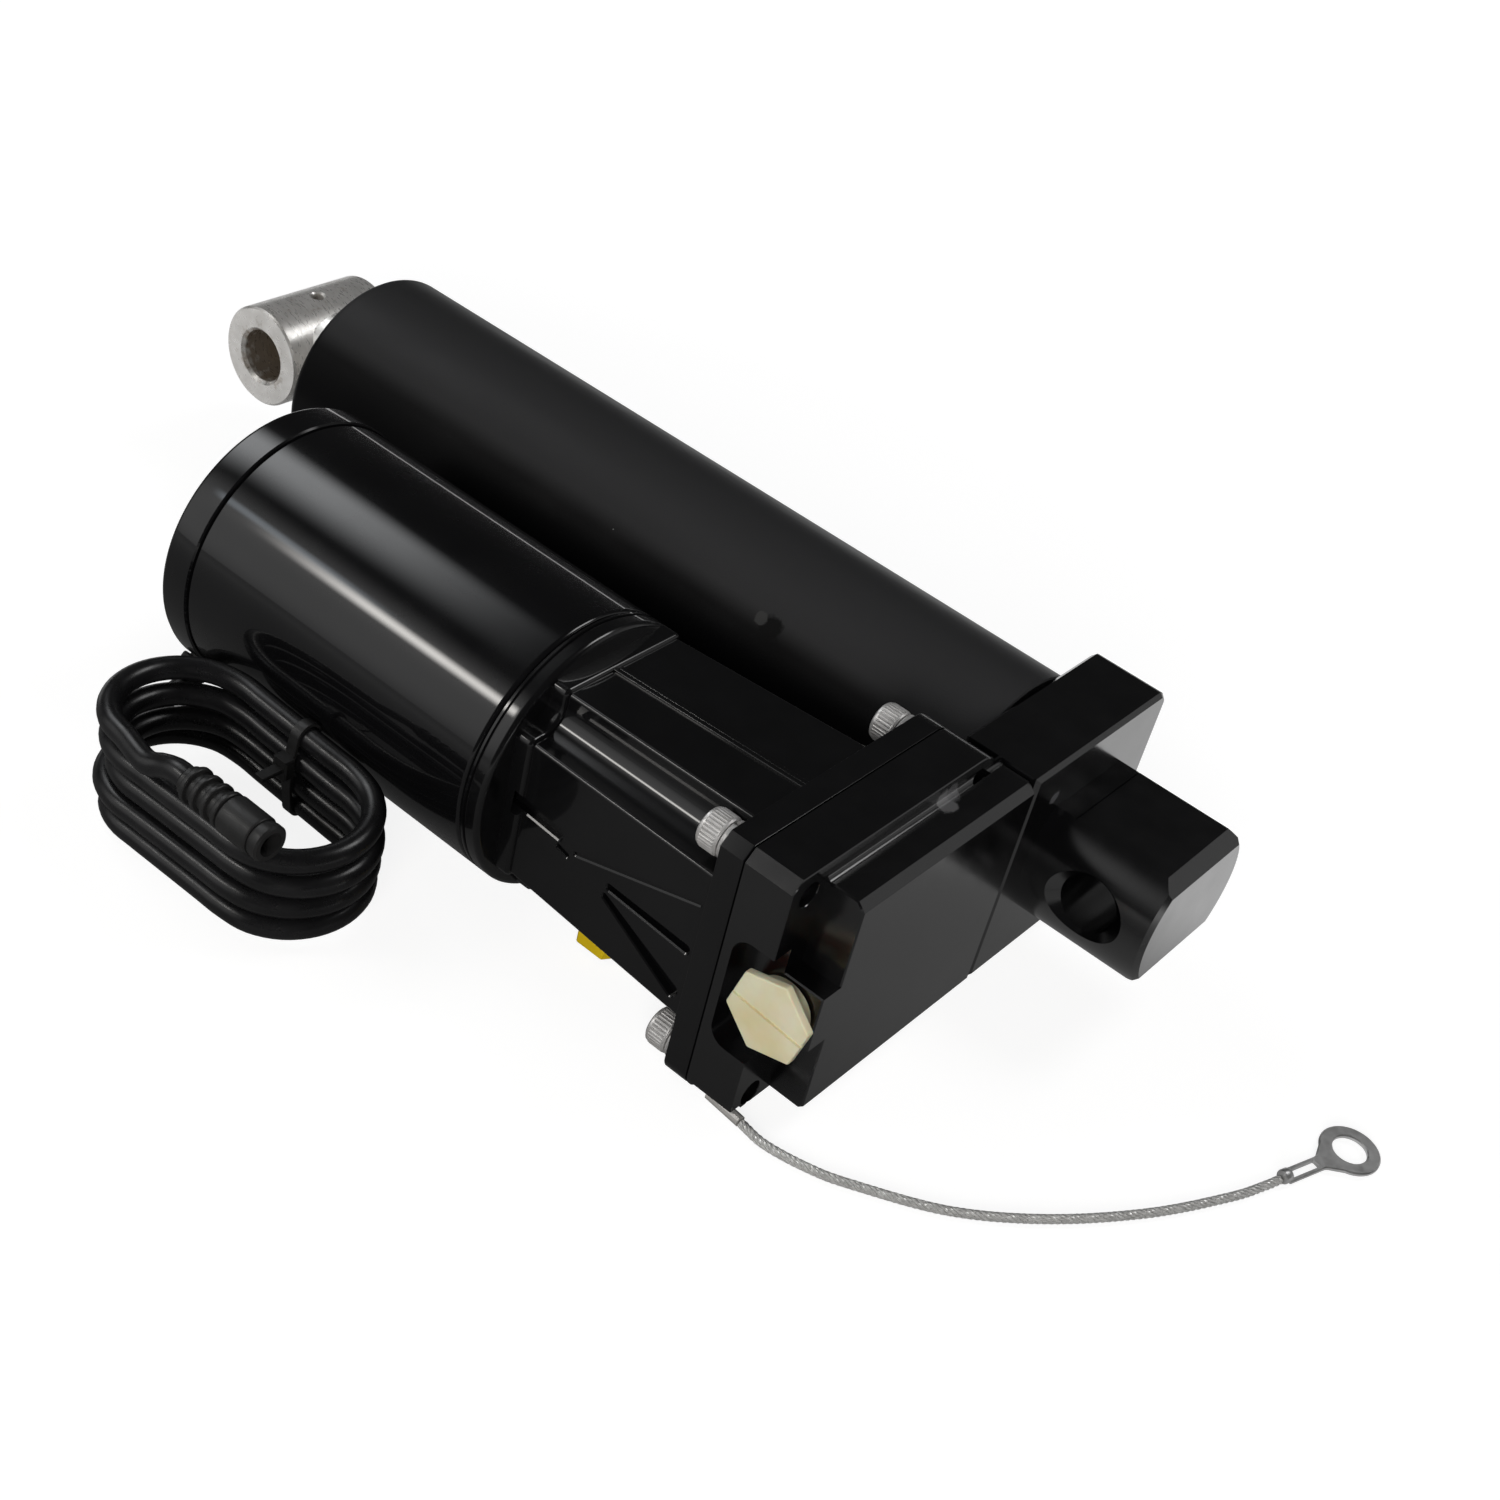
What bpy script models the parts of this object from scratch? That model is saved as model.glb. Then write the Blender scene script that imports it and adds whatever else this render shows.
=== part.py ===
import math

import bmesh
import bpy
from mathutils import Matrix, Vector

MM = 0.001

# Driving sizes. X runs along the tube towards the rod end, Y from the tube to the motor, Z up.
# X is counted from the joint between the gear housing and the gearbox case, Y and Z from the tube's axis.
GAP = 0.3 * MM
STROKE = 100.0 * MM
PIN_BORE_R = 6.5 * MM
BORE_CHAMFER = 0.8 * MM
CLEVIS_BORE_CHAMFER = 2.2 * MM

TUBE_R = 26.9 * MM
TUBE_WALL = 4.5 * MM
TUBE_FRONT = 192.2 * MM
TUBE_EDGE = 2.0 * MM

ROD_R = 15.0 * MM
ROD_WALL = 3.0 * MM
ROD_BACK = 17.0 * MM
ROD_OUT = 4.0 * MM
ROD_END_REACH = 21.4 * MM
ROD_END_R = 12.5 * MM
ROD_END_WIDTH = 34.0 * MM
ROD_STEM_DEPTH = 15.0 * MM
GREASE_HOLE_R = 1.7 * MM

NUT_LENGTH = 30.0 * MM
SCREW_R = 8.0 * MM
SCREW_SPARE = 13.0 * MM
GLAND_LENGTH = 22.0 * MM
WIPER_LENGTH = 3.6 * MM

BLOCK_FRONT = -20.5 * MM
BLOCK_BACK = -2.4 * MM
BLOCK_HALF_WIDTH = 25.4 * MM
BLOCK_TOP = 26.4 * MM
BLOCK_BOTTOM = -27.0 * MM
BLOCK_CORNER = 3.0 * MM
TONGUE_R = 18.5 * MM
TONGUE_HALF_HEIGHT = 13.75 * MM
TONGUE_LENGTH = 30.0 * MM
TONGUE_CHAMFER = 3.0 * MM

MOTOR_Y = 65.7 * MM
MOTOR_R = 31.0 * MM
MOTOR_WALL = 2.0 * MM
MOTOR_LENGTH = 81.1 * MM
CAP_R = 31.55 * MM
CAP_LENGTH = 8.1 * MM
CAP_CHAMFER = 1.4 * MM
SHAFT_R = 4.0 * MM
SUN_SHAFT_R = 2.5 * MM
ARMATURE_R = 22.0 * MM
ARMATURE_SLOTS = 10
MAGNET_R = 22.8 * MM
COMMUTATOR_R = 11.0 * MM

SLAB_TOP = 29.5 * MM
SLAB_BOTTOM = -31.55 * MM
SLAB_FAR = 92.6 * MM
SLAB_THICK = 11.3 * MM
SLAB_CHAMFER = 2.45 * MM
SLAB_CORNER = 8.0 * MM
SLAB_FAR_CORNER = 4.0 * MM
COVER_FAR = 82.3 * MM
COVER_TOP = 25.5 * MM
COVER_BOTTOM = -27.4 * MM
FLANGE_THICK = 5.45 * MM
GEAR_WALL = 5.0 * MM

CASE_COLLAR = 57.5 * MM
CASE_END = 62.2 * MM
PANEL_NEAR = -19.0 * MM
PANEL_FAR = 16.3 * MM
PANEL_HEIGHT = 27.6 * MM
CHEEK_REACH = 25.2 * MM
CHEEK_HEIGHT = 18.2 * MM
CASE_TAPER = 0.9

SCREW_SPOTS = (
    (86.9 * MM, 24.3 * MM),
    (33.5 * MM, 24.3 * MM),
    (86.9 * MM, -26.9 * MM),
    (33.5 * MM, -26.9 * MM),
)
BOLT_R = 2.5 * MM
BOLT_HEAD_R = 4.25 * MM
BOLT_HEAD = 5.0 * MM
BOLT_SOCKET_AF = 4.0 * MM
BOLT_SOCKET_DEPTH = 2.5 * MM
WASHER_THICK = 1.3 * MM

PLUG_X = -13.3 * MM
PLUG_Z = -1.3 * MM
PLUG_SEAT_Y = 87.5 * MM
PLUG_AF = 16.6 * MM
PLUG_HEAD = 1.4 * MM
PLUG_NECK_R = 6.4 * MM
PLUG_NECK = 3.9 * MM
PLUG_SHANK_R = 4.9 * MM
PLUG_SLOT = 0.8 * MM
PLUG_SLOT_DEPTH = 0.6 * MM
PLUG_SLOT_TURN = math.radians(-5.0)
PLUG_TURN = math.radians(44.0)

DRAIN_X = 37.0 * MM
DRAIN_Y = 74.0 * MM
DRAIN_AF = 12.0 * MM
DRAIN_HEAD = 3.6 * MM

PINION_TEETH = 15
IDLER_TEETH = 40
SCREW_TEETH = 36
SUN_TEETH = 12
PLANET_TEETH = 12
RING_TEETH = 36
PLANETS = 3
SUN_MODULE = 0.9 * MM
BACKLASH = 0.22 * MM
PRESSURE_ANGLE = math.radians(20.0)
GEAR_BACK = -14.5 * MM
GEAR_FACE = 7.5 * MM
PLANET_BACK = 23.6 * MM
PLANET_FACE = 10.4 * MM
CARRIER_THICK = 4.0 * MM
OUTPUT_R = 4.7 * MM
RING_WALL = 1.9 * MM
IDLER_PIN_R = 4.0 * MM

GROUND_ROPE_R = 1.0 * MM
GROUND_SCREW_X = -5.0 * MM
GROUND_SCREW_Y = 80.5 * MM
LUG_LIFT = 1.0 * MM
LUG_THICK = 0.6 * MM
SLEEVE_R = 1.2 * MM
GROUND_ROUTE = (
    (-13.6, 91.3),
    (-20.0, 91.9),
    (-29.0, 90.0),
    (-37.0, 86.7),
    (-53.7, 77.0),
    (-67.9, 63.3),
    (-80.4, 46.3),
    (-89.3, 29.8),
    (-92.6, 21.6),
    (-93.9, 17.6),
)
GROUND_EYE = (-100.2 * MM, -1.6 * MM)
EYE_R = 6.5 * MM
EYE_HOLE_R = 3.7 * MM
EYE_THICK = 1.0 * MM
EYE_CRIMP = 2.6 * MM
EYE_NECK_HALF = 1.65 * MM
EYE_RAIL = 0.7 * MM
EYE_WINDOW = 8.0 * MM

CABLE_R = 2.5 * MM
CABLE_EXIT_DEPTH = 4.0 * MM
HANK_X = 103.0 * MM
HANK_Y = 115.6 * MM
HANK_END_R = 15.0 * MM
HANK_RUN = 32.0 * MM
HANK_START = -0.1
HANK_END = 4.0
HANK_CLIMB = 5.7 * MM
HANK_SWAY = 1.1 * MM
CABLE_LIFT = 0.1 * MM
CONNECTOR_R = 4.2 * MM
CONNECTOR_LENGTH = 24.0 * MM
CONNECTOR_RIBS = 4

ROUND_STEPS = 40
INNER_STEPS = 20
SMALL_STEPS = 16
TUBE_INNER_R = TUBE_R - TUBE_WALL
ROD_END_X = TUBE_FRONT + ROD_END_REACH
SCREW_FRONT = ROD_BACK + NUT_LENGTH + STROKE + SCREW_SPARE
TONGUE_END = BLOCK_FRONT - TONGUE_LENGTH
CLEVIS_BORE_X = BLOCK_FRONT - TONGUE_LENGTH / 2
GEAR_MODULE = 2 * MOTOR_Y / (PINION_TEETH + 2 * IDLER_TEETH + SCREW_TEETH)
SCREW_GEAR_R = GEAR_MODULE * SCREW_TEETH / 2
IDLER_R = GEAR_MODULE * IDLER_TEETH / 2
PINION_R = GEAR_MODULE * PINION_TEETH / 2
IDLER_Y = SCREW_GEAR_R + IDLER_R
POCKET_BACK = BLOCK_FRONT + GEAR_WALL
BLIND_END = BLOCK_FRONT + 2 * MM
PLANET_ORBIT = SUN_MODULE * (SUN_TEETH + PLANET_TEETH) / 2
RING_R = SUN_MODULE * RING_TEETH / 2 + 1.25 * SUN_MODULE + RING_WALL
MOTOR_BACK = CASE_END + GAP
MOTOR_FRONT = MOTOR_BACK + MOTOR_LENGTH
CAP_BACK = MOTOR_FRONT + GAP
CAP_FRONT = CAP_BACK + CAP_LENGTH
CABLE_EXIT_X = CAP_BACK + CABLE_EXIT_DEPTH
BLOCK_SIDE = BLOCK_HALF_WIDTH + GAP
FLOOR = min(SLAB_BOTTOM, -CAP_R)
CENTRE_X = (TONGUE_END + ROD_END_X + ROD_END_R) / 2
CENTRE_Y = (-TUBE_R + MOTOR_Y + CAP_R) / 2


def clear_scene():
    for item in list(bpy.data.objects):
        bpy.data.objects.remove(item, do_unlink=True)


def collection(name):
    made = bpy.data.collections.new(name)
    bpy.context.scene.collection.children.link(made)
    return made


clear_scene()
PARTS = collection("linear_actuator")
CUTTERS = collection("cutters")
MATERIALS = {}


def material(name, colour, roughness, metallic):
    made = bpy.data.materials.new(name)
    made.use_nodes = True
    shader = made.node_tree.nodes["Principled BSDF"]
    shader.inputs["Base Color"].default_value = (*colour, 1)
    shader.inputs["Roughness"].default_value = roughness
    shader.inputs["Metallic"].default_value = metallic
    MATERIALS[name] = made


material("black_anodised", (0.02, 0.02, 0.022), 0.35, 0.4)
material("black_paint", (0.015, 0.015, 0.016), 0.25, 0.0)
material("black_matte", (0.03, 0.03, 0.032), 0.55, 0.2)
material("stainless", (0.62, 0.6, 0.57), 0.3, 1.0)
material("gear_steel", (0.42, 0.42, 0.44), 0.35, 1.0)
material("bronze", (0.7, 0.5, 0.25), 0.35, 1.0)
material("nylon", (0.82, 0.8, 0.68), 0.5, 0.0)
material("yellow_plastic", (0.85, 0.65, 0.05), 0.45, 0.0)
material("black_rubber", (0.02, 0.02, 0.02), 0.6, 0.0)
material("black_plastic", (0.03, 0.03, 0.03), 0.45, 0.0)
material("copper", (0.75, 0.38, 0.22), 0.35, 1.0)
material("ferrite", (0.1, 0.1, 0.11), 0.6, 0.0)
material("carbon", (0.06, 0.06, 0.06), 0.7, 0.0)


def empty(name, spot, parent=None):
    made = bpy.data.objects.new(name, None)
    PARTS.objects.link(made)
    made.location = spot
    made.parent = parent
    return made


FRAME = empty("actuator_frame", (-CENTRE_X, -CENTRE_Y, -FLOOR))
ROD = empty("rod_axis", (0, 0, 0), FRAME)
SCREW = empty("screw_axis", (0, 0, 0), FRAME)
IDLER = empty("idler_axis", (0, IDLER_Y, 0), FRAME)
MOTOR = empty("motor_axis", (0, MOTOR_Y, 0), FRAME)
CARRIER = empty("carrier_axis", (0, MOTOR_Y, 0), FRAME)
TURNS = {
    "X": Matrix(((0, 0, 1), (1, 0, 0), (0, 1, 0))).to_4x4(),
    "Y": Matrix(((0, 1, 0), (0, 0, 1), (1, 0, 0))).to_4x4(),
    "Z": Matrix.Identity(4),
}


def place(mesh, name, matrix, parent, finish):
    """Add a mesh as a part, or as a hidden cutter where it has no finish."""
    made = bpy.data.objects.new(name, mesh)
    made.parent = parent
    made.matrix_local = matrix
    if finish:
        PARTS.objects.link(made)
        mesh.materials.append(MATERIALS[finish])
    else:
        CUTTERS.objects.link(made)
        made.hide_render = True
        made.display_type = "WIRE"
    return made


def facing(direction):
    """A turn that points local Z along a direction."""
    return Vector((0, 0, 1)).rotation_difference(Vector(direction)).to_matrix().to_4x4()


def turned(name, outline, spot=(0, 0, 0), axis="X", parent=FRAME, finish=None, steps=ROUND_STEPS):
    """A turned shape from (along, radius) points, spun about an axis letter or a direction."""
    ring = all(radius > 0 for _, radius in outline)
    area = sum(
        a[1] * b[0] - b[1] * a[0] for a, b in zip(outline, outline[1:] + outline[:1])
    )
    if area > 0:
        outline = outline[::-1]
    mesh = bpy.data.meshes.new(name)
    points = [(radius, 0, along) for along, radius in outline]
    links = [(i, i + 1) for i in range(len(points) - 1)]
    if ring:
        links.append((len(points) - 1, 0))
    mesh.from_pydata(points, links, [])
    turn = TURNS[axis] if isinstance(axis, str) else facing(axis)
    made = place(mesh, name, Matrix.Translation(spot) @ turn, parent, finish)
    spin = made.modifiers.new("spin", "SCREW")
    spin.axis = "Z"
    spin.steps = spin.render_steps = steps
    spin.use_merge_vertices = True
    spin.merge_threshold = 0.000001
    spin.use_smooth_shade = True
    return made


def rod_shape(name, start, end, radius, chamfer=0.0, **rest):
    """A solid round bar between two places along its axis."""
    outline = [(start, 0), (start, radius - chamfer)]
    if chamfer:
        outline.append((start + chamfer, radius))
        outline.append((end - chamfer, radius))
    outline += [(end, radius - chamfer), (end, 0)]
    return turned(name, outline, **rest)


def ring_shape(name, start, end, inner, outer, chamfer=0.0, **rest):
    """A round ring between two places along its axis."""
    outline = [(start, inner), (start, outer - chamfer)]
    if chamfer:
        outline.append((start + chamfer, outer))
        outline.append((end - chamfer, outer))
    outline += [(end, outer - chamfer), (end, inner)]
    return turned(name, outline, **rest)


def mesh_from_curve(curve, name):
    """A welded closed mesh from a curve, which is then removed."""
    holder = bpy.data.objects.new(name, curve)
    bpy.context.scene.collection.objects.link(holder)
    graph = bpy.context.evaluated_depsgraph_get()
    mesh = bpy.data.meshes.new_from_object(holder.evaluated_get(graph))
    bpy.data.objects.remove(holder)
    work = bmesh.new()
    work.from_mesh(mesh)
    bmesh.ops.remove_doubles(work, verts=work.verts, dist=0.000001)
    bmesh.ops.recalc_face_normals(work, faces=work.faces)
    work.to_mesh(mesh)
    work.free()
    return mesh


def prism(name, outlines, start, end, spot=(0, 0, 0), axis="X", parent=FRAME, finish=None, turn=None):
    """A flat outline with any holes, given thickness from start to end along its axis."""
    curve = bpy.data.curves.new(name, "CURVE")
    curve.dimensions = "2D"
    curve.fill_mode = "BOTH"
    curve.extrude = (end - start) / 2
    for outline in outlines:
        spline = curve.splines.new("POLY")
        spline.points.add(len(outline) - 1)
        for point, (u, v) in zip(spline.points, outline):
            point.co = (u, v, 0, 1)
        spline.use_cyclic_u = True
    mesh = mesh_from_curve(curve, name)
    middle = Matrix.Translation((0, 0, (start + end) / 2))
    turned_to = turn if turn else TURNS[axis]
    return place(mesh, name, Matrix.Translation(spot) @ turned_to @ middle, parent, finish)


def cord(name, route, radius, finish, resolution):
    """A round cord through points, with closed ends."""
    curve = bpy.data.curves.new(name, "CURVE")
    curve.dimensions = "3D"
    curve.bevel_depth = radius
    curve.bevel_resolution = resolution
    curve.use_fill_caps = True
    spline = curve.splines.new("POLY")
    spline.points.add(len(route) - 1)
    for point, spot in zip(spline.points, route):
        point.co = (*spot, 1)
    mesh = mesh_from_curve(curve, name)
    for face in mesh.polygons:
        face.use_smooth = True
    return place(mesh, name, Matrix.Identity(4), FRAME, finish)


def combine(target, tool, operation, solver):
    step = target.modifiers.new(tool.name, "BOOLEAN")
    step.operation = operation
    step.solver = solver
    step.object = tool


def cut(target, *tools, solver="EXACT"):
    for tool in tools:
        combine(target, tool, "DIFFERENCE", solver)


def join(target, *tools, solver="EXACT"):
    for tool in tools:
        combine(target, tool, "UNION", solver)


def circle(radius, steps=SMALL_STEPS, centre=(0, 0)):
    return [
        (
            centre[0] + radius * math.cos(2 * math.pi * i / steps),
            centre[1] + radius * math.sin(2 * math.pi * i / steps),
        )
        for i in range(steps)
    ]


def box_outline(low_u, high_u, low_v, high_v, corners=(0, 0, 0, 0), steps=6):
    """A rectangle; corners gives radii from the low-low corner on round; a negative one is a chamfer."""
    centres = (
        (low_u, low_v, 1, 1, math.pi),
        (high_u, low_v, -1, 1, 1.5 * math.pi),
        (high_u, high_v, -1, -1, 0.0),
        (low_u, high_v, 1, -1, 0.5 * math.pi),
    )
    points = []
    for (u, v, side_u, side_v, start), size in zip(centres, corners):
        if size == 0:
            points.append((u, v))
            continue
        radius = abs(size)
        count = 1 if size < 0 else steps
        for i in range(count + 1):
            angle = start + 0.5 * math.pi * i / count
            points.append((
                u + side_u * radius + radius * math.cos(angle),
                v + side_v * radius + radius * math.sin(angle),
            ))
    return points


def box(name, low, high, parent=FRAME, finish=None):
    """A box from its low corner to its high corner."""
    return prism(
        name, [box_outline(low[1], high[1], low[2], high[2])], low[0], high[0],
        parent=parent, finish=finish,
    )


def hexagon(across_flats, turn=0.0):
    radius = across_flats / math.sqrt(3)
    return [
        (
            radius * math.cos(turn + i * math.pi / 3),
            radius * math.sin(turn + i * math.pi / 3),
        )
        for i in range(6)
    ]


def involute(angle):
    return math.tan(angle) - angle


def gear_outline(module, teeth, thicken, tip, root, turn):
    """An involute outline: thicken adds to the tooth at the pitch circle, tip and root are in modules."""
    pitch = module * teeth / 2
    base = pitch * math.cos(PRESSURE_ANGLE)
    low = pitch - root * module
    high = pitch + tip * module
    half = (math.pi * module / 2 + thicken) / (2 * pitch)
    flank = []
    for i in range(3):
        radius = low + (high - low) * i / 2
        slope = math.acos(min(1.0, base / radius))
        flank.append((radius, half + involute(PRESSURE_ANGLE) - involute(slope)))
    points = []
    for tooth in range(teeth):
        centre = turn + 2 * math.pi * tooth / teeth
        sides = [(r, centre - a) for r, a in flank] + [(r, centre + a) for r, a in flank[::-1]]
        points += [(r * math.cos(a), r * math.sin(a)) for r, a in sides]
    return points


def gear(name, module, teeth, bore, start, face, turn, parent, finish, spot=(0, 0, 0)):
    outline = gear_outline(module, teeth, -BACKLASH, 0.9, 1.25, turn)
    outlines = [outline, circle(bore)]
    return prism(name, outlines, start, start + face, spot=spot, parent=parent, finish=finish)


def arc_outline(inner, outer, middle, half_angle, steps=12):
    angles = [middle - half_angle + 2 * half_angle * i / steps for i in range(steps + 1)]
    points = [(outer * math.cos(a), outer * math.sin(a)) for a in angles]
    return points + [(inner * math.cos(a), inner * math.sin(a)) for a in angles[::-1]]


def smooth_route(points, spacing):
    """Evenly spaced points on a smooth curve through the given ones."""
    points = [Vector(point) for point in points]
    ends = [2 * points[0] - points[1]] + points + [2 * points[-1] - points[-2]]
    fine = []
    for a, b, c, d in zip(ends, ends[1:], ends[2:], ends[3:]):
        for i in range(20):
            t = i / 20
            fine.append(
                0.5 * (
                    2 * b + (c - a) * t + (2 * a - 5 * b + 4 * c - d) * t**2
                    + (3 * b - a - 3 * c + d) * t**3
                )
            )
    fine.append(points[-1])
    steps = [(b - a).length for a, b in zip(fine, fine[1:])]
    count = max(2, round(sum(steps) / spacing))
    route = [fine[0]]
    travelled, i = 0.0, 0
    for k in range(1, count):
        wanted = sum(steps) * k / count
        while travelled + steps[i] < wanted:
            travelled += steps[i]
            i += 1
        route.append(fine[i].lerp(fine[i + 1], (wanted - travelled) / steps[i]))
    return route + [fine[-1]]


def tube_and_gland():
    tube_back = BLOCK_BACK + GAP
    turned(
        "outer_tube",
        [
            (tube_back, TUBE_INNER_R),
            (tube_back, TUBE_R),
            (TUBE_FRONT - TUBE_EDGE, TUBE_R),
            (TUBE_FRONT - 0.3 * TUBE_EDGE, TUBE_R - 0.3 * TUBE_EDGE),
            (TUBE_FRONT, TUBE_R - TUBE_EDGE),
            (TUBE_FRONT, TUBE_INNER_R),
        ],
        finish="black_matte",
    )
    wiper_front = TUBE_FRONT - 1 * MM
    wiper_back = wiper_front - WIPER_LENGTH
    gland_front = wiper_back - GAP
    inner = ROD_R + GAP
    outer = TUBE_INNER_R - GAP
    ring_shape(
        "front_gland", gland_front - GLAND_LENGTH, gland_front, inner, outer,
        finish="bronze", steps=INNER_STEPS,
    )
    turned(
        "rod_wiper",
        [
            (wiper_back, inner + 1 * MM),
            (wiper_back, outer),
            (wiper_front, outer),
            (wiper_front, inner),
            (wiper_front - 1 * MM, inner),
        ],
        finish="black_rubber", steps=INNER_STEPS,
    )


def rod_parts():
    rod_front = TUBE_FRONT + ROD_OUT
    rod_bore = ROD_R - ROD_WALL
    ring_shape("rod_tube", ROD_BACK, rod_front, rod_bore, ROD_R, parent=ROD, finish="stainless")
    half = ROD_END_WIDTH / 2
    end = rod_shape(
        "rod_end", -half, half, ROD_END_R, 0.4 * MM, spot=(ROD_END_X, 0, 0), axis="Y",
        parent=ROD, finish="stainless",
    )
    stem = turned(
        "rod_stem",
        [
            (rod_front - ROD_STEM_DEPTH, 0),
            (rod_front - ROD_STEM_DEPTH, rod_bore - GAP),
            (rod_front + GAP, rod_bore - GAP),
            (rod_front + GAP, ROD_END_R - 0.2 * MM),
            (ROD_END_X - PIN_BORE_R - 2 * MM, ROD_END_R - 0.2 * MM),
            (ROD_END_X - PIN_BORE_R - 2 * MM, 0),
        ],
        parent=ROD, steps=INNER_STEPS,
    )
    join(end, stem)
    cut(end, pin_bore("rod_end_bore", ROD_END_X, half, BORE_CHAMFER, ROD))
    hole = rod_shape(
        "grease_hole", 0, ROD_END_R + 2 * MM, GREASE_HOLE_R, spot=(ROD_END_X, 0, 0), axis="Z",
        parent=ROD, steps=SMALL_STEPS,
    )
    cut(end, hole)
    nut_back = ROD_BACK - 4 * MM
    nut_front = nut_back + NUT_LENGTH
    nut_r = TUBE_INNER_R - 1.4 * MM
    band = 7 * MM
    turned(
        "drive_nut",
        [
            (nut_back, SCREW_R + GAP),
            (nut_back, nut_r - band / 4),
            (nut_back + band, nut_r - band / 4),
            (nut_back + band, nut_r),
            (nut_front, nut_r),
            (nut_front, ROD_R + GAP),
            (ROD_BACK - GAP, ROD_R + GAP),
            (ROD_BACK - GAP, SCREW_R + GAP),
        ],
        parent=ROD, finish="bronze", steps=INNER_STEPS,
    )
    ring_shape(
        "nut_guide_ring", nut_back + 0.2 * MM, nut_back + band - GAP, nut_r - band / 4 + GAP,
        TUBE_INNER_R - GAP, parent=ROD, finish="nylon", steps=INNER_STEPS,
    )


def pin_bore(name, x, half_width, chamfer, parent):
    """A cross hole with a chamfer at each mouth."""
    wide = PIN_BORE_R + chamfer
    reach = half_width + 1 * MM
    return turned(
        name,
        [
            (-reach, 0),
            (-reach, wide + 1 * MM),
            (-half_width + chamfer, PIN_BORE_R),
            (half_width - chamfer, PIN_BORE_R),
            (reach, wide + 1 * MM),
            (reach, 0),
        ],
        spot=(x, 0, 0), axis="Y", parent=parent, steps=INNER_STEPS,
    )


def screw_parts():
    journal = SCREW_R - GAP
    shoulder = BLOCK_BACK + 14 * MM
    turned(
        "lead_screw",
        [
            (BLIND_END + GAP, 0),
            (BLIND_END + GAP, journal - 1.5 * MM),
            (POCKET_BACK + GAP, journal - 1.5 * MM),
            (POCKET_BACK + GAP, journal),
            (shoulder, journal),
            (shoulder, SCREW_R),
            (SCREW_FRONT, SCREW_R),
            (SCREW_FRONT, 0),
        ],
        parent=SCREW, finish="gear_steel", steps=INNER_STEPS,
    )
    gear(
        "screw_gear", GEAR_MODULE, SCREW_TEETH, SCREW_R, GEAR_BACK, GEAR_FACE,
        math.pi / SCREW_TEETH, SCREW, "gear_steel",
    )
    bearing_back = BLOCK_BACK
    bearing_front = bearing_back + 12 * MM
    spigot_bore = TUBE_INNER_R - GAP - 1.8 * MM
    ring_shape(
        "screw_bearing_outer", bearing_back, bearing_front, spigot_bore - 4.4 * MM,
        spigot_bore - GAP, parent=FRAME, finish="gear_steel", steps=INNER_STEPS,
    )
    ring_shape(
        "screw_bearing_inner", bearing_back, bearing_front, SCREW_R,
        spigot_bore - 4.4 * MM - GAP, parent=SCREW, finish="gear_steel", steps=INNER_STEPS,
    )
    ring_shape(
        "screw_spacer", GEAR_BACK + GEAR_FACE + GAP, bearing_back - GAP, SCREW_R,
        SCREW_R + 3 * MM, parent=SCREW, finish="gear_steel", steps=SMALL_STEPS,
    )


def clevis_block():
    corners = [BLOCK_CORNER, 0, 0, BLOCK_CORNER]
    outline = box_outline(-BLOCK_HALF_WIDTH, BLOCK_HALF_WIDTH, BLOCK_BOTTOM, BLOCK_TOP, corners)
    block = prism("clevis_block", [outline], BLOCK_FRONT, BLOCK_BACK, finish="black_anodised")
    tongue = turned(
        "tongue",
        [
            (TONGUE_END, 0),
            (TONGUE_END, TONGUE_R - 1 * MM),
            (TONGUE_END + 1 * MM, TONGUE_R),
            (BLOCK_FRONT + 1 * MM, TONGUE_R),
            (BLOCK_FRONT + 1 * MM, 0),
        ],
        steps=ROUND_STEPS,
    )
    reach = TONGUE_R + 1 * MM
    far = TONGUE_END - 1 * MM
    for side, name in ((1, "flat_top"), (-1, "flat_bottom")):
        outline = [
            (side * TONGUE_HALF_HEIGHT, BLOCK_FRONT),
            (side * TONGUE_HALF_HEIGHT, TONGUE_END + TONGUE_CHAMFER),
            (side * (TONGUE_HALF_HEIGHT - TONGUE_CHAMFER - 1 * MM), far),
            (side * reach, far),
            (side * reach, BLOCK_FRONT),
        ]
        cut(tongue, prism(name, [outline], -reach, reach, axis="Y"))
    spigot_bore = TUBE_INNER_R - GAP - 1.8 * MM
    spigot = ring_shape(
        "spigot", BLOCK_BACK - 1 * MM, BLOCK_BACK + 13 * MM, spigot_bore, TUBE_INNER_R - GAP,
    )
    join(block, tongue, spigot)
    pocket_r = SCREW_GEAR_R + GEAR_MODULE + 0.7 * MM
    pocket = turned(
        "screw_pocket",
        [
            (BLIND_END, 0),
            (BLIND_END, SCREW_R - 1.5 * MM),
            (POCKET_BACK, SCREW_R - 1.5 * MM),
            (POCKET_BACK, pocket_r),
            (BLOCK_BACK - 1 * MM, pocket_r),
            (BLOCK_BACK + 1 * MM, spigot_bore - 0.02 * MM),
            (BLOCK_BACK + 1 * MM, 0),
        ],
        steps=ROUND_STEPS,
    )
    cut(block, pocket, idler_pocket("block_window", BLOCK_BACK + 1 * MM))
    cut(block, pin_bore("clevis_bore", CLEVIS_BORE_X, TONGUE_R - 0.3 * MM, CLEVIS_BORE_CHAMFER, FRAME))


def gear_pocket(name, y, radius, hole, front):
    """Room for a gear, with a blind hole for its shaft."""
    return turned(
        name,
        [
            (BLIND_END, 0),
            (BLIND_END, hole),
            (POCKET_BACK, hole),
            (POCKET_BACK, radius),
            (front, radius),
            (front, 0),
        ],
        spot=(0, y, 0),
    )


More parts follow.
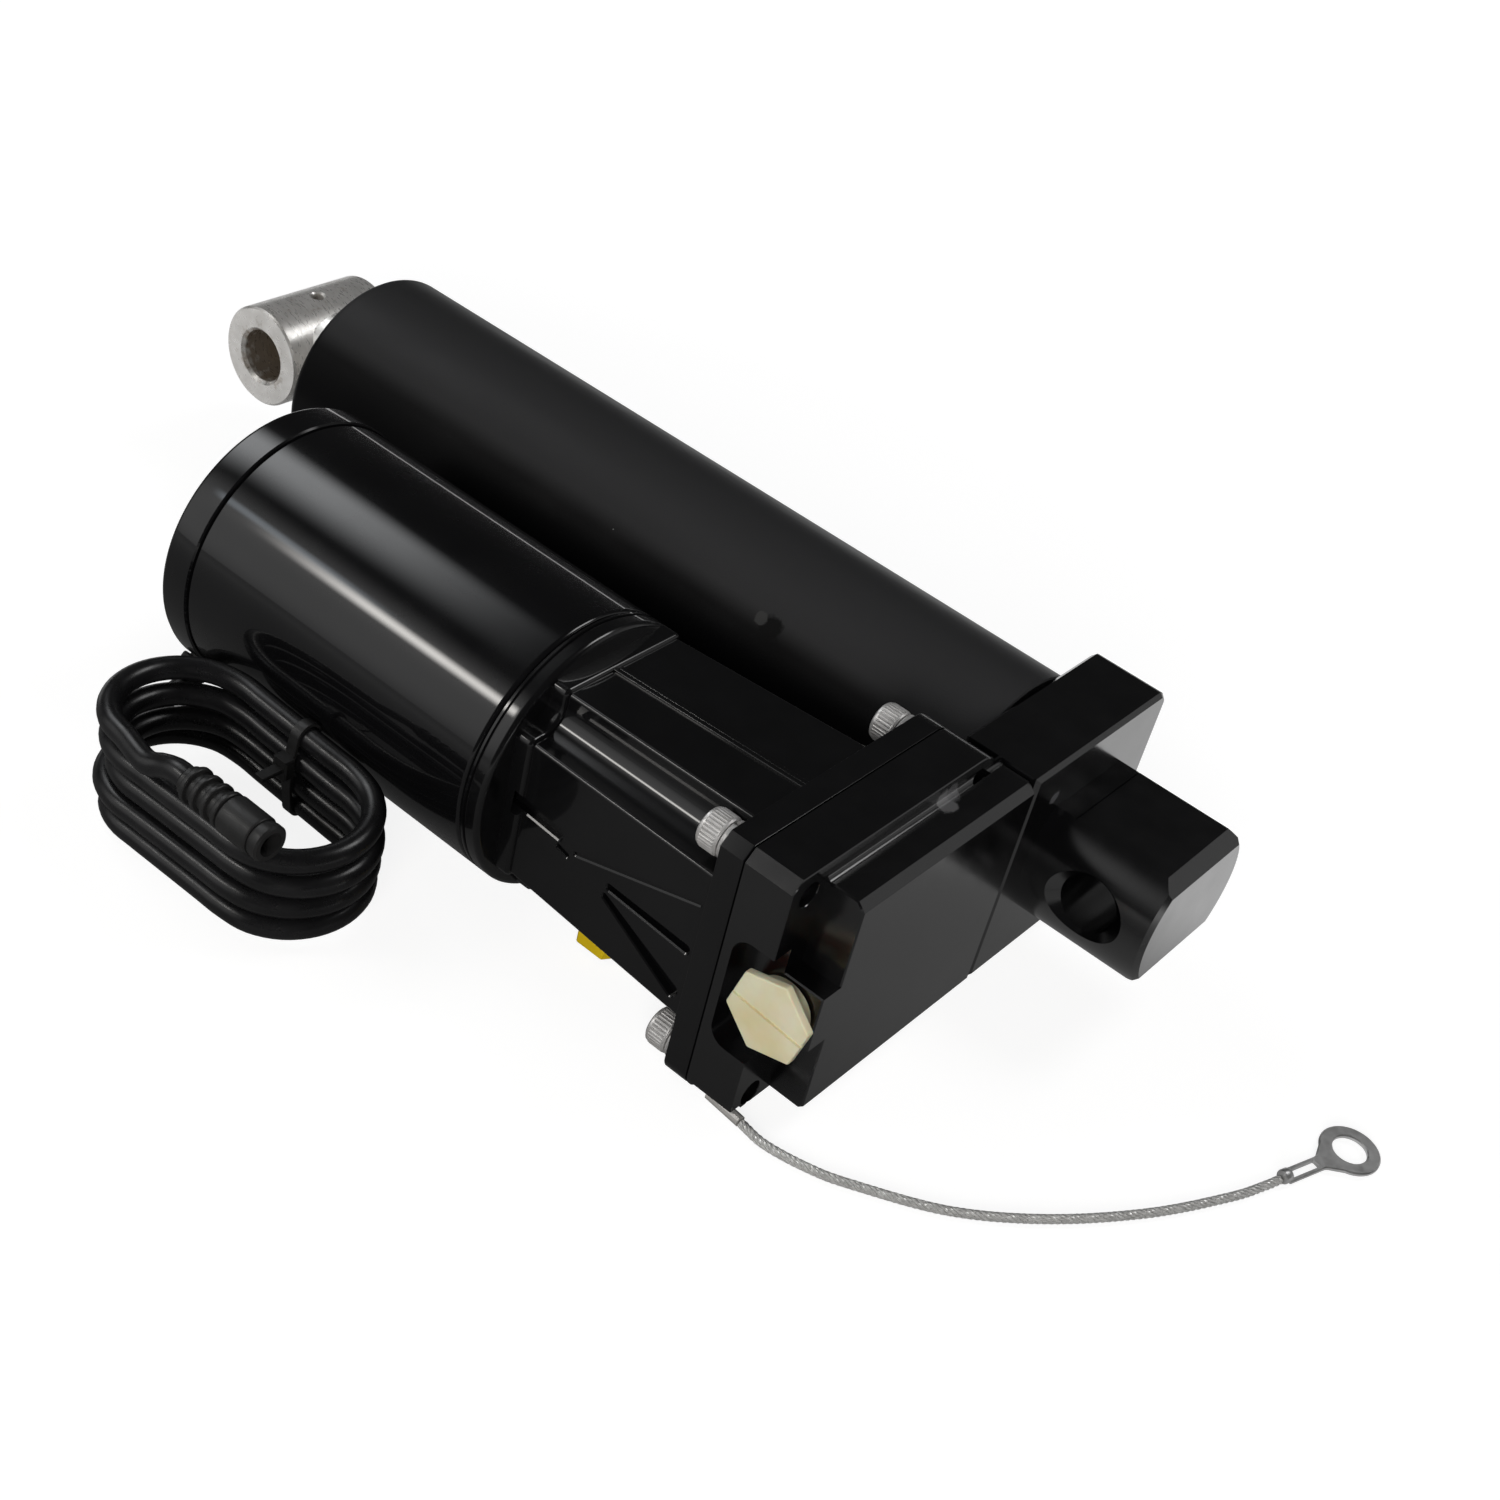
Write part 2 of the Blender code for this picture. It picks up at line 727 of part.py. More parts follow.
def idler_pocket(name, front):
    return gear_pocket(name, IDLER_Y, IDLER_R + GEAR_MODULE + 0.7 * MM, IDLER_PIN_R + GAP, front)


def slab_outline():
    return box_outline(
        BLOCK_SIDE, SLAB_FAR, SLAB_BOTTOM, SLAB_TOP,
        (SLAB_CORNER, SLAB_FAR_CORNER, -SLAB_CHAMFER, SLAB_CORNER),
    )


def gear_housing():
    housing = prism("gear_housing", [slab_outline()], -SLAB_THICK, 0, finish="black_anodised")
    outline = box_outline(BLOCK_SIDE, COVER_FAR, COVER_BOTTOM, COVER_TOP)
    cover = prism("cover", [outline], BLOCK_FRONT, -SLAB_THICK + 1 * MM)
    boss = box(
        "plug_boss", (BLOCK_FRONT, COVER_FAR - 1 * MM, PLUG_Z - 6.7 * MM),
        (-SLAB_THICK + 1 * MM, PLUG_SEAT_Y, PLUG_Z + 6.7 * MM),
    )
    join(housing, cover, boss)
    seat_outline = box_outline(
        PLUG_Z - 14 * MM, PLUG_Z + 12.6 * MM, -SLAB_THICK - 1 * MM, PLUG_X + 11 * MM,
        (0, 0, 4 * MM, 4 * MM),
    )
    seat = prism("plug_seat", [seat_outline], PLUG_SEAT_Y, SLAB_FAR + 1 * MM, axis="Y")
    tube_room = rod_shape("tube_room", BLOCK_BACK - GAP, 1 * MM, TUBE_R + GAP)
    pinion_pocket = gear_pocket(
        "pinion_pocket", MOTOR_Y, PINION_R + GEAR_MODULE + 4 * MM, OUTPUT_R + GAP, 1 * MM,
    )
    plug_hole = rod_shape(
        "plug_hole", MOTOR_Y + PINION_R + GEAR_MODULE + 2 * MM, SLAB_FAR, PLUG_SHANK_R + GAP,
        spot=(PLUG_X, 0, PLUG_Z), axis="Y", steps=SMALL_STEPS,
    )
    cut(housing, seat, tube_room, pinion_pocket, idler_pocket("idler_pocket", 1 * MM))
    cut(housing, plug_hole)
    for number, (y, z) in enumerate(SCREW_SPOTS, 1):
        hole = rod_shape(
            f"housing_hole_{number}", -SLAB_THICK - 1 * MM, 1 * MM, BOLT_R + GAP / 2,
            spot=(0, y, z), steps=SMALL_STEPS,
        )
        cut(housing, hole)
    lug_room = box(
        "lug_room", (-SLAB_THICK - 1 * MM, GROUND_SCREW_Y - 5.4 * MM, SLAB_BOTTOM - 1 * MM),
        (-0.8 * MM, SLAB_FAR + 1 * MM, SLAB_BOTTOM + LUG_LIFT + LUG_THICK + GAP),
    )
    sleeve_room = box(
        "sleeve_room", (-SLAB_THICK - 1 * MM, GROUND_ROUTE[0][1] * MM - 2.3 * MM, SLAB_BOTTOM - 1 * MM),
        (-0.8 * MM, SLAB_FAR + 1 * MM, SLAB_BOTTOM + 2 * SLEEVE_R + 0.1 * MM + GAP),
    )
    screw_hole = rod_shape(
        "ground_hole", SLAB_BOTTOM + 1 * MM, SLAB_BOTTOM + 9 * MM, 1.5 * MM + GAP,
        spot=(GROUND_SCREW_X, GROUND_SCREW_Y, 0), axis="Z", steps=SMALL_STEPS,
    )
    cut(housing, lug_room, sleeve_room, screw_hole)


def gearbox_case():
    start = GAP
    flange_front = start + FLANGE_THICK
    case = prism("gearbox_case", [slab_outline()], start, flange_front, finish="black_paint")
    cross = [
        (PANEL_NEAR, CHEEK_HEIGHT), (-CHEEK_REACH, CHEEK_HEIGHT), (-CHEEK_REACH, -CHEEK_HEIGHT),
        (PANEL_NEAR, -CHEEK_HEIGHT), (PANEL_NEAR, -PANEL_HEIGHT), (PANEL_FAR, -PANEL_HEIGHT),
        (PANEL_FAR, -CHEEK_HEIGHT), (CHEEK_REACH, -CHEEK_HEIGHT), (CHEEK_REACH, CHEEK_HEIGHT),
        (PANEL_FAR, CHEEK_HEIGHT), (PANEL_FAR, PANEL_HEIGHT), (PANEL_NEAR, PANEL_HEIGHT),
    ]
    body = prism("case_body", [cross], flange_front - 1 * MM, CASE_COLLAR + 1 * MM, spot=(0, MOTOR_Y, 0))
    for vertex in body.data.vertices:
        if vertex.co.z > 0:
            vertex.co.x *= CASE_TAPER
            vertex.co.y *= CASE_TAPER
    collar = turned(
        "case_collar",
        [
            (CASE_COLLAR, 0),
            (CASE_COLLAR, MOTOR_R - 1 * MM),
            (CASE_COLLAR + 1 * MM, MOTOR_R),
            (CASE_END, MOTOR_R),
            (CASE_END, 0),
        ],
        spot=(0, MOTOR_Y, 0),
    )
    seat_back = flange_front + 1 * MM
    seat_front = seat_back + 8.4 * MM
    ring_back = seat_front + 2.5 * MM
    room = turned(
        "case_room",
        [
            (-1 * MM, 0),
            (-1 * MM, 10 * MM),
            (seat_back, 10 * MM),
            (seat_back, 13 * MM + GAP),
            (seat_front, 13 * MM + GAP),
            (seat_front, 12 * MM),
            (ring_back, 12 * MM),
            (ring_back, RING_R + GAP),
            (CASE_COLLAR - 1 * MM, RING_R + GAP),
            (CASE_COLLAR + 1 * MM, 25.8 * MM),
            (CASE_END + 1 * MM, 25.8 * MM),
            (CASE_END + 1 * MM, 0),
        ],
        spot=(0, MOTOR_Y, 0),
    )
    join(case, body, collar)
    cut(case, rod_shape("tube_way", -1 * MM, flange_front + 1 * MM, TUBE_R + GAP), room)
    pin_end = rod_shape(
        "pin_end", -1 * MM, start + 3.5 * MM, IDLER_PIN_R + GAP, spot=(0, IDLER_Y, 0), steps=SMALL_STEPS,
    )
    cut(case, pin_end, solver="MANIFOLD")
    for number, (y, z) in enumerate(SCREW_SPOTS, 1):
        hole = rod_shape(
            f"flange_hole_{number}", -1 * MM, flange_front + 1 * MM, BOLT_R + GAP,
            spot=(0, y, z), steps=SMALL_STEPS,
        )
        cut(case, hole, solver="MANIFOLD")
    drain = rod_shape(
        "drain_hole", -PANEL_HEIGHT - 1 * MM, -PANEL_HEIGHT * CASE_TAPER + 4 * MM, 2.5 * MM + GAP,
        spot=(DRAIN_X, DRAIN_Y, 0), axis="Z", steps=SMALL_STEPS,
    )
    cut(case, drain, solver="MANIFOLD")
    along = (DRAIN_X - flange_front) / (CASE_COLLAR - flange_front)
    under = -PANEL_HEIGHT * (1 - (1 - CASE_TAPER) * along)
    head = prism(
        "drain_plug", [hexagon(DRAIN_AF)], under - 1 * MM - DRAIN_HEAD, under - 1 * MM,
        spot=(DRAIN_X, DRAIN_Y, 0), axis="Z", finish="yellow_plastic",
    )
    shank = rod_shape(
        "drain_shank", under - 2 * MM, under + 3 * MM, 2.5 * MM,
        spot=(DRAIN_X, DRAIN_Y, 0), axis="Z", steps=SMALL_STEPS,
    )
    join(head, shank)


def fasteners():
    flange_front = GAP + FLANGE_THICK
    washer_back = flange_front + GAP
    head_back = washer_back + WASHER_THICK + GAP
    split = math.radians(9)
    for number, (y, z) in enumerate(SCREW_SPOTS, 1):
        screw = turned(
            f"flange_screw_{number}",
            [
                (-SLAB_THICK + 0.5 * MM, 0),
                (-SLAB_THICK + 0.5 * MM, BOLT_R - GAP / 2),
                (head_back, BOLT_R - GAP / 2),
                (head_back, BOLT_HEAD_R),
                (head_back + BOLT_HEAD - 0.5 * MM, BOLT_HEAD_R),
                (head_back + BOLT_HEAD, BOLT_HEAD_R - 0.5 * MM),
                (head_back + BOLT_HEAD, 0),
            ],
            spot=(0, y, z), finish="stainless", steps=SMALL_STEPS,
        )
        socket = prism(
            f"socket_{number}", [hexagon(BOLT_SOCKET_AF)], head_back + BOLT_HEAD - BOLT_SOCKET_DEPTH,
            head_back + BOLT_HEAD + 1 * MM, spot=(0, y, z),
        )
        cut(screw, socket)
        prism(
            f"spring_washer_{number}",
            [arc_outline(BOLT_R + GAP, BOLT_HEAD_R - 0.1 * MM, math.pi * number / 2, math.pi - split, 10)],
            washer_back, washer_back + WASHER_THICK, spot=(0, y, z), finish="stainless",
        )


def vent_plug():
    seat = PLUG_SEAT_Y + GAP
    plug = turned(
        "vent_plug",
        [
            (seat - 8 * MM, 0),
            (seat - 8 * MM, PLUG_SHANK_R - 0.6 * MM),
            (seat - 7.4 * MM, PLUG_SHANK_R),
            (seat, PLUG_SHANK_R),
            (seat, PLUG_NECK_R),
            (seat + PLUG_NECK, PLUG_NECK_R),
            (seat + PLUG_NECK, 0),
        ],
        spot=(PLUG_X, 0, PLUG_Z), axis="Y", finish="nylon", steps=INNER_STEPS,
    )
    front = seat + PLUG_NECK + PLUG_HEAD
    turn = math.pi / 2 - PLUG_TURN
    head = prism(
        "plug_head", [hexagon(PLUG_AF, turn)], seat + PLUG_NECK - 0.5 * MM, front,
        spot=(PLUG_X, 0, PLUG_Z), axis="Y",
    )
    join(plug, head)
    slot_outline = box_outline(-PLUG_SLOT / 2, PLUG_SLOT / 2, -PLUG_AF, PLUG_AF)
    slot = prism(
        "plug_slot", [slot_outline], front - PLUG_SLOT_DEPTH, front + 1 * MM,
        spot=(PLUG_X, 0, PLUG_Z), turn=TURNS["Y"] @ Matrix.Rotation(PLUG_SLOT_TURN, 4, "Z"),
    )
    cut(plug, slot)


def transfer_gears():
    gear(
        "idler_gear", GEAR_MODULE, IDLER_TEETH, IDLER_PIN_R + 1.6 * MM, GEAR_BACK, GEAR_FACE, 0.0,
        IDLER, "gear_steel",
    )
    ring_shape(
        "idler_bush", GEAR_BACK - 0.5 * MM, GEAR_BACK + GEAR_FACE + 0.5 * MM, IDLER_PIN_R + GAP,
        IDLER_PIN_R + 1.3 * MM, parent=IDLER, finish="bronze", steps=SMALL_STEPS,
    )
    rod_shape(
        "idler_pin", BLIND_END + GAP, 3.4 * MM, IDLER_PIN_R, spot=(0, IDLER_Y, 0),
        finish="gear_steel", steps=SMALL_STEPS,
    )
    gear(
        "output_pinion", GEAR_MODULE, PINION_TEETH, OUTPUT_R + GAP, GEAR_BACK, GEAR_FACE, 0.0,
        CARRIER, "gear_steel",
    )


def planetary():
    plate_front = PLANET_BACK - 0.5 * MM
    carrier = turned(
        "planet_carrier",
        [
            (BLIND_END + GAP, 0),
            (BLIND_END + GAP, OUTPUT_R),
            (plate_front - CARRIER_THICK, OUTPUT_R),
            (plate_front - CARRIER_THICK, PLANET_ORBIT + 4.5 * MM),
            (plate_front, PLANET_ORBIT + 4.5 * MM),
            (plate_front, 0),
        ],
        parent=CARRIER, finish="gear_steel", steps=INNER_STEPS,
    )
    prism(
        "ring_gear",
        [
            circle(RING_R, ROUND_STEPS),
            gear_outline(SUN_MODULE, RING_TEETH, BACKLASH, 1.2, 0.8, math.pi / RING_TEETH),
        ],
        PLANET_BACK, PLANET_BACK + PLANET_FACE, spot=(0, MOTOR_Y, 0), finish="gear_steel",
    )
    for number in range(1, PLANETS + 1):
        angle = math.pi / 2 + 2 * math.pi * (number - 1) / PLANETS
        spot = (0, PLANET_ORBIT * math.cos(angle), PLANET_ORBIT * math.sin(angle))
        pin = rod_shape(
            f"planet_pin_{number}", plate_front - 1 * MM, PLANET_BACK + PLANET_FACE + 1 * MM, 2.2 * MM,
            spot=spot, parent=CARRIER, steps=16,
        )
        join(carrier, pin)
        axis = empty(f"planet_axis_{number}", spot, CARRIER)
        gear(
            f"planet_gear_{number}", SUN_MODULE, PLANET_TEETH, 2.2 * MM + GAP, PLANET_BACK, PLANET_FACE,
            angle + math.pi / PLANET_TEETH, axis, "gear_steel",
        )
    gear(
        "sun_pinion", SUN_MODULE, SUN_TEETH, SUN_SHAFT_R + GAP, PLANET_BACK + 0.4 * MM, PLANET_FACE,
        math.pi / 2, MOTOR, "gear_steel",
    )
    seat_back = GAP + FLANGE_THICK + 1.2 * MM
    ring_shape(
        "output_bearing_outer", seat_back, seat_back + 8 * MM, 9.3 * MM, 13 * MM, spot=(0, MOTOR_Y, 0),
        finish="gear_steel", steps=INNER_STEPS,
    )
    ring_shape(
        "output_bearing_inner", seat_back, seat_back + 8 * MM, OUTPUT_R + GAP, 9 * MM, parent=CARRIER,
        finish="gear_steel", steps=INNER_STEPS,
    )


def motor():
    spot = (0, MOTOR_Y, 0)
    can_bore = MOTOR_R - MOTOR_WALL
    turned(
        "motor_can",
        [
            (MOTOR_BACK, can_bore),
            (MOTOR_BACK, MOTOR_R - 0.5 * MM),
            (MOTOR_BACK + 0.5 * MM, MOTOR_R),
            (MOTOR_FRONT, MOTOR_R),
            (MOTOR_FRONT, can_bore),
        ],
        spot=spot, finish="black_paint", steps=ROUND_STEPS,
    )
    plate_back = CASE_END - 3.5 * MM
    turned(
        "motor_front_plate",
        [
            (plate_back, SHAFT_R + GAP),
            (plate_back, 25.5 * MM),
            (MOTOR_BACK + 1 * MM, 25.5 * MM),
            (MOTOR_BACK + 1 * MM, can_bore - GAP),
            (MOTOR_BACK + 5.5 * MM, can_bore - GAP),
            (MOTOR_BACK + 5.5 * MM, SHAFT_R + GAP),
        ],
        spot=spot, finish="gear_steel", steps=INNER_STEPS,
    )
    cap = turned(
        "motor_cap",
        [
            (CAP_FRONT, 0),
            (CAP_FRONT, CAP_R - CAP_CHAMFER),
            (CAP_FRONT - CAP_CHAMFER, CAP_R),
            (CAP_BACK, CAP_R),
            (CAP_BACK, can_bore - GAP),
            (CAP_BACK - 4.5 * MM, can_bore - GAP),
            (CAP_BACK - 4.5 * MM, can_bore - 2.5 * MM),
            (CAP_FRONT - 2.5 * MM, can_bore - 2.5 * MM),
            (CAP_FRONT - 2.5 * MM, 9 * MM),
            (CAP_BACK - 1 * MM, 9 * MM),
            (CAP_BACK - 1 * MM, SHAFT_R + GAP),
            (CAP_FRONT - 2.5 * MM, SHAFT_R + GAP),
            (CAP_FRONT - 2.5 * MM, 0),
        ],
        spot=spot, finish="black_paint", steps=ROUND_STEPS,
    )
    way_out = Vector((0, math.sqrt(0.5), -math.sqrt(0.5)))
    exit_spot = (CABLE_EXIT_X, MOTOR_Y, 0)
    cable_way = rod_shape(
        "cable_way", can_bore - 5 * MM, CAP_R + 2 * MM, 3 * MM,
        spot=exit_spot, axis=way_out, steps=SMALL_STEPS,
    )
    cut(cap, cable_way)
    turned(
        "cable_grommet",
        [
            (can_bore - 2 * MM, 0),
            (can_bore - 2 * MM, 3 * MM - GAP),
            (CAP_R + GAP, 3 * MM - GAP),
            (CAP_R + GAP, 4.1 * MM),
            (CAP_R + 1.8 * MM, 4.1 * MM),
            (CAP_R + 5.2 * MM, CABLE_R + 0.6 * MM),
            (CAP_R + 5.2 * MM, 0),
        ],
        spot=exit_spot, axis=way_out, finish="black_rubber", steps=SMALL_STEPS,
    )
    core_back = MOTOR_BACK + 22 * MM
    core_front = core_back + 34 * MM
    turned(
        "motor_shaft",
        [
            (PLANET_BACK + 0.4 * MM, 0),
            (PLANET_BACK + 0.4 * MM, SUN_SHAFT_R),
            (plate_back - 3 * MM, SUN_SHAFT_R),
            (plate_back - 3 * MM, SHAFT_R),
            (CAP_FRONT - 3 * MM, SHAFT_R),
            (CAP_FRONT - 3 * MM, 0),
        ],
        parent=MOTOR, finish="gear_steel", steps=SMALL_STEPS,
    )
    slots = []
    for slot in range(ARMATURE_SLOTS):
        middle = 2 * math.pi * slot / ARMATURE_SLOTS
        half = math.pi / ARMATURE_SLOTS
        for radius, angle in (
            (14 * MM, -0.75 * half),
            (18.5 * MM, -0.5 * half),
            (18.5 * MM, -0.92 * half),
            (ARMATURE_R, -0.92 * half),
            (ARMATURE_R, 0.0),
            (ARMATURE_R, 0.92 * half),
            (18.5 * MM, 0.92 * half),
            (18.5 * MM, 0.5 * half),
            (14 * MM, 0.75 * half),
        ):
            slots.append((radius * math.cos(middle + angle), radius * math.sin(middle + angle)))
    bore = SHAFT_R + GAP
    prism("armature_core", [slots, circle(bore)], core_back, core_front, parent=MOTOR, finish="gear_steel")
    ring_shape(
        "armature_winding_back", core_back - 7 * MM, core_back - GAP, bore, 18 * MM,
        parent=MOTOR, finish="copper", steps=INNER_STEPS,
    )
    ring_shape(
        "armature_winding_front", core_front + GAP, core_front + 7 * MM, bore, 18 * MM,
        parent=MOTOR, finish="copper", steps=INNER_STEPS,
    )
    comm_back = core_front + 7 * MM + GAP
    ring_shape(
        "commutator", comm_back, comm_back + 10 * MM, bore, COMMUTATOR_R,
        parent=MOTOR, finish="copper", steps=INNER_STEPS,
    )
    plate = comm_back + 10.4 * MM
    ring_shape(
        "brush_plate", plate, plate + 2.5 * MM, 6 * MM, can_bore - GAP,
        spot=spot, finish="black_plastic", steps=INNER_STEPS,
    )
    for number, side in ((1, 1), (2, -1)):
        low, high = sorted((side * (COMMUTATOR_R + GAP), side * 20 * MM))
        box(
            f"brush_{number}", (comm_back + 2 * MM, MOTOR_Y - 3 * MM, low),
            (plate - GAP, MOTOR_Y + 3 * MM, high), finish="carbon",
        )
        outline = arc_outline(MAGNET_R, can_bore - GAP, side * math.pi / 2, math.radians(62))
        prism(
            f"magnet_{number}", [outline], core_back - 4 * MM, core_front + 4 * MM,
            spot=spot, finish="ferrite",
        )


def ground_strap():
    lug_z = SLAB_BOTTOM + LUG_LIFT
    rope_z = SLAB_BOTTOM + GROUND_ROPE_R + 0.1 * MM
    route = [(x * MM, y * MM, rope_z) for x, y in GROUND_ROUTE]
    rope_start, rope_end = Vector(route[0]), Vector(route[-1])
    lug = prism(
        "ground_lug", [circle(3.9 * MM), circle(1.5 * MM + GAP)], lug_z, lug_z + LUG_THICK,
        spot=(GROUND_SCREW_X, GROUND_SCREW_Y, 0), axis="Z", finish="stainless",
    )
    back = (rope_start - Vector(route[1])).normalized()
    sleeve_start = rope_start + back * GAP
    sleeve_end = sleeve_start + back * 8.6 * MM
    sleeve = rod_shape(
        "lug_sleeve", 0, (sleeve_end - sleeve_start).length, SLEEVE_R,
        spot=sleeve_start + Vector((0, 0, SLEEVE_R - GROUND_ROPE_R)), axis=back, steps=12,
    )
    tie = prism(
        "lug_tie",
        [[
            (GROUND_SCREW_X - 2 * MM, GROUND_SCREW_Y + 3 * MM),
            (GROUND_SCREW_X + 2.4 * MM, GROUND_SCREW_Y + 3 * MM),
            (sleeve_end.x + 2 * MM, sleeve_end.y - 0.6 * MM),
            (sleeve_end.x - 2.4 * MM, sleeve_end.y - 0.6 * MM),
        ]],
        lug_z, lug_z + LUG_THICK, axis="Z",
    )
    join(lug, tie, sleeve)
    turned(
        "ground_screw",
        [
            (SLAB_BOTTOM + 8.6 * MM, 0),
            (SLAB_BOTTOM + 8.6 * MM, 1.5 * MM),
            (lug_z - GAP, 1.5 * MM),
            (lug_z - GAP, 3 * MM),
            (lug_z - 0.6 * MM, 3 * MM),
            (lug_z - 0.9 * MM, 2.6 * MM),
            (lug_z - 0.9 * MM, 0),
        ],
        spot=(GROUND_SCREW_X, GROUND_SCREW_Y, 0), axis="Z", finish="stainless", steps=SMALL_STEPS,
    )
    cord("ground_lead", smooth_route(route, 4.5 * MM), GROUND_ROPE_R, "stainless", 2)
    ahead = Vector((GROUND_EYE[0], GROUND_EYE[1], rope_z)) - rope_end
    way = ahead.normalized()
    side = Vector((-way.y, way.x, 0))
    eye = prism(
        "ring_terminal", [circle(EYE_R), circle(EYE_HOLE_R)],
        rope_z - EYE_THICK / 2, rope_z + EYE_THICK / 2,
        spot=(*GROUND_EYE, 0), axis="Z", finish="stainless",
    )
    crimp = rod_shape(
        "eye_crimp", GAP, EYE_CRIMP, GROUND_ROPE_R + 0.55 * MM,
        spot=rope_end + Vector((0, 0, 0.55 * MM)), axis=way, steps=12,
    )
    neck_end = ahead.length - EYE_HOLE_R - 0.8 * MM
    rail = EYE_NECK_HALF - EYE_RAIL

    def neck_corner(along, across):
        spot = rope_end + way * along + side * across
        return spot.x, spot.y

    neck_outline = [
        neck_corner(EYE_CRIMP - 1 * MM, -EYE_NECK_HALF), neck_corner(neck_end, -EYE_NECK_HALF - 1 * MM),
        neck_corner(neck_end, EYE_NECK_HALF + 1 * MM), neck_corner(EYE_CRIMP - 1 * MM, EYE_NECK_HALF),
    ]
    window = [
        neck_corner(EYE_CRIMP + GAP, -rail), neck_corner(EYE_CRIMP + EYE_WINDOW, -rail),
        neck_corner(EYE_CRIMP + EYE_WINDOW, rail), neck_corner(EYE_CRIMP + GAP, rail),
    ]
    neck = prism(
        "eye_neck", [neck_outline, window], rope_z - EYE_THICK / 2, rope_z + EYE_THICK / 2, axis="Z",
    )
    join(eye, neck, crimp)


def straight_ends(points):
    """A smooth cable route that leaves and arrives square to its ends."""
    return [points[0]] + smooth_route(points[1:-1], 2.4 * CABLE_R) + [points[-1]]


def hank_point(turn):
    """A place on the stacked loops, counted in turns from the far side, along the motor's axis first."""
    sway = HANK_SWAY * math.sin(2.2 * turn)
    radius = HANK_END_R + 0.5 * sway
    lap = 2 * HANK_RUN + 2 * math.pi * radius
    run = (turn % 1) * lap
    half = HANK_RUN / 2
    if run < HANK_RUN:
        x, y = half - run, radius
    elif run < HANK_RUN + math.pi * radius:
        angle = (run - HANK_RUN) / radius
        x, y = -half - radius * math.sin(angle), radius * math.cos(angle)
    elif run < 2 * HANK_RUN + math.pi * radius:
        x, y = run - HANK_RUN - math.pi * radius - half, -radius
    else:
        angle = (run - 2 * HANK_RUN - math.pi * radius) / radius
        x, y = half + radius * math.sin(angle), -radius * math.cos(angle)
    height = FLOOR + CABLE_R + CABLE_LIFT + HANK_CLIMB * (turn - HANK_START)
    return Vector((HANK_X + x + sway, HANK_Y + y, height))


def power_cable():
    way_out = Vector((0, math.sqrt(0.5), -math.sqrt(0.5)))
    start = Vector((CABLE_EXIT_X, MOTOR_Y, 0)) + way_out * (CAP_R + 5.2 * MM + GAP)
    low = FLOOR + CABLE_R + CABLE_LIFT
    turns = HANK_END - HANK_START
    count = round(24 * turns)
    loops = [hank_point(HANK_START + turns * i / count) for i in range(count + 1)]
    first = ((loops[0] - loops[1]) * Vector((1, 1, 0))).normalized()
    last = (loops[-1] - loops[-2]).normalized()
    loops = [loops[0] + first * 2 * CABLE_R] + loops + [loops[-1] + last * 2 * CABLE_R]
    gaps = [
        (a - b).length
        for i, a in enumerate(loops)
        for b in loops[i + 5:]
    ]
    print(f"least gap in the hank {1000 * (min(gaps) - 2 * CABLE_R):.2f} mm")
    cord("cable_hank", loops, CABLE_R, "black_rubber", 1)
    into = loops[0] + first * GAP
    lead = [
        start,
        start + way_out * 2 * MM,
        Vector((CABLE_EXIT_X, start.y + 4.2 * MM, low + 0.5 * MM)),
        Vector((CABLE_EXIT_X - 1.6 * MM, start.y + 11 * MM, low)),
        into + first * 2 * CABLE_R,
        into,
    ]
    cord("cable_lead", straight_ends(lead), CABLE_R, "black_rubber", 2)
    out = loops[-1] + last * GAP
    under = HANK_CLIMB * (HANK_END - 0.65 - HANK_START) + 2 * CABLE_R
    plug_start = Vector((out.x - 14 * MM, out.y, FLOOR + CABLE_LIFT + under + CONNECTOR_R + GAP))
    plug_way = Vector((-1, 0, 0))
    tail = [
        out,
        out + last * 3 * MM,
        out.lerp(plug_start, 0.5),
        plug_start - plug_way * 3 * MM,
        plug_start,
    ]
    cord("cable_tail", straight_ends(tail), CABLE_R, "black_rubber", 2)
    outline = [(GAP, 0), (GAP, CABLE_R + 0.7 * MM)]
    rib = 0.5 * CONNECTOR_LENGTH / CONNECTOR_RIBS
    for number in range(CONNECTOR_RIBS):
        outline.append((GAP + rib * (number + 0.55), CABLE_R + 0.7 * MM))
        outline.append((GAP + rib * (number + 0.6), CONNECTOR_R - 0.2 * MM))
        outline.append((GAP + rib * (number + 0.95), CONNECTOR_R - 0.2 * MM))
        outline.append((GAP + rib * (number + 1), CABLE_R + 0.7 * MM))
    outline += [
        (0.54 * CONNECTOR_LENGTH, CONNECTOR_R),
        (CONNECTOR_LENGTH, CONNECTOR_R),
        (CONNECTOR_LENGTH, 0),
    ]
    turned(
        "cable_connector", outline, spot=plug_start, axis=plug_way, finish="black_plastic", steps=12,
    )


tube_and_gland()
rod_parts()
screw_parts()
clevis_block()
gear_housing()
gearbox_case()
fasteners()
vent_plug()
transfer_gears()
planetary()
motor()
ground_strap()
power_cable()
print(f"gear module {1000 * GEAR_MODULE:.4f} mm, idler at {1000 * IDLER_Y:.3f} mm")
print(f"centre {1000 * CENTRE_X:.3f}, {1000 * CENTRE_Y:.3f}, floor {1000 * FLOOR:.3f} mm")
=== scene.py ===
import math

import bmesh
import bpy
from mathutils import Matrix, Vector, geometry


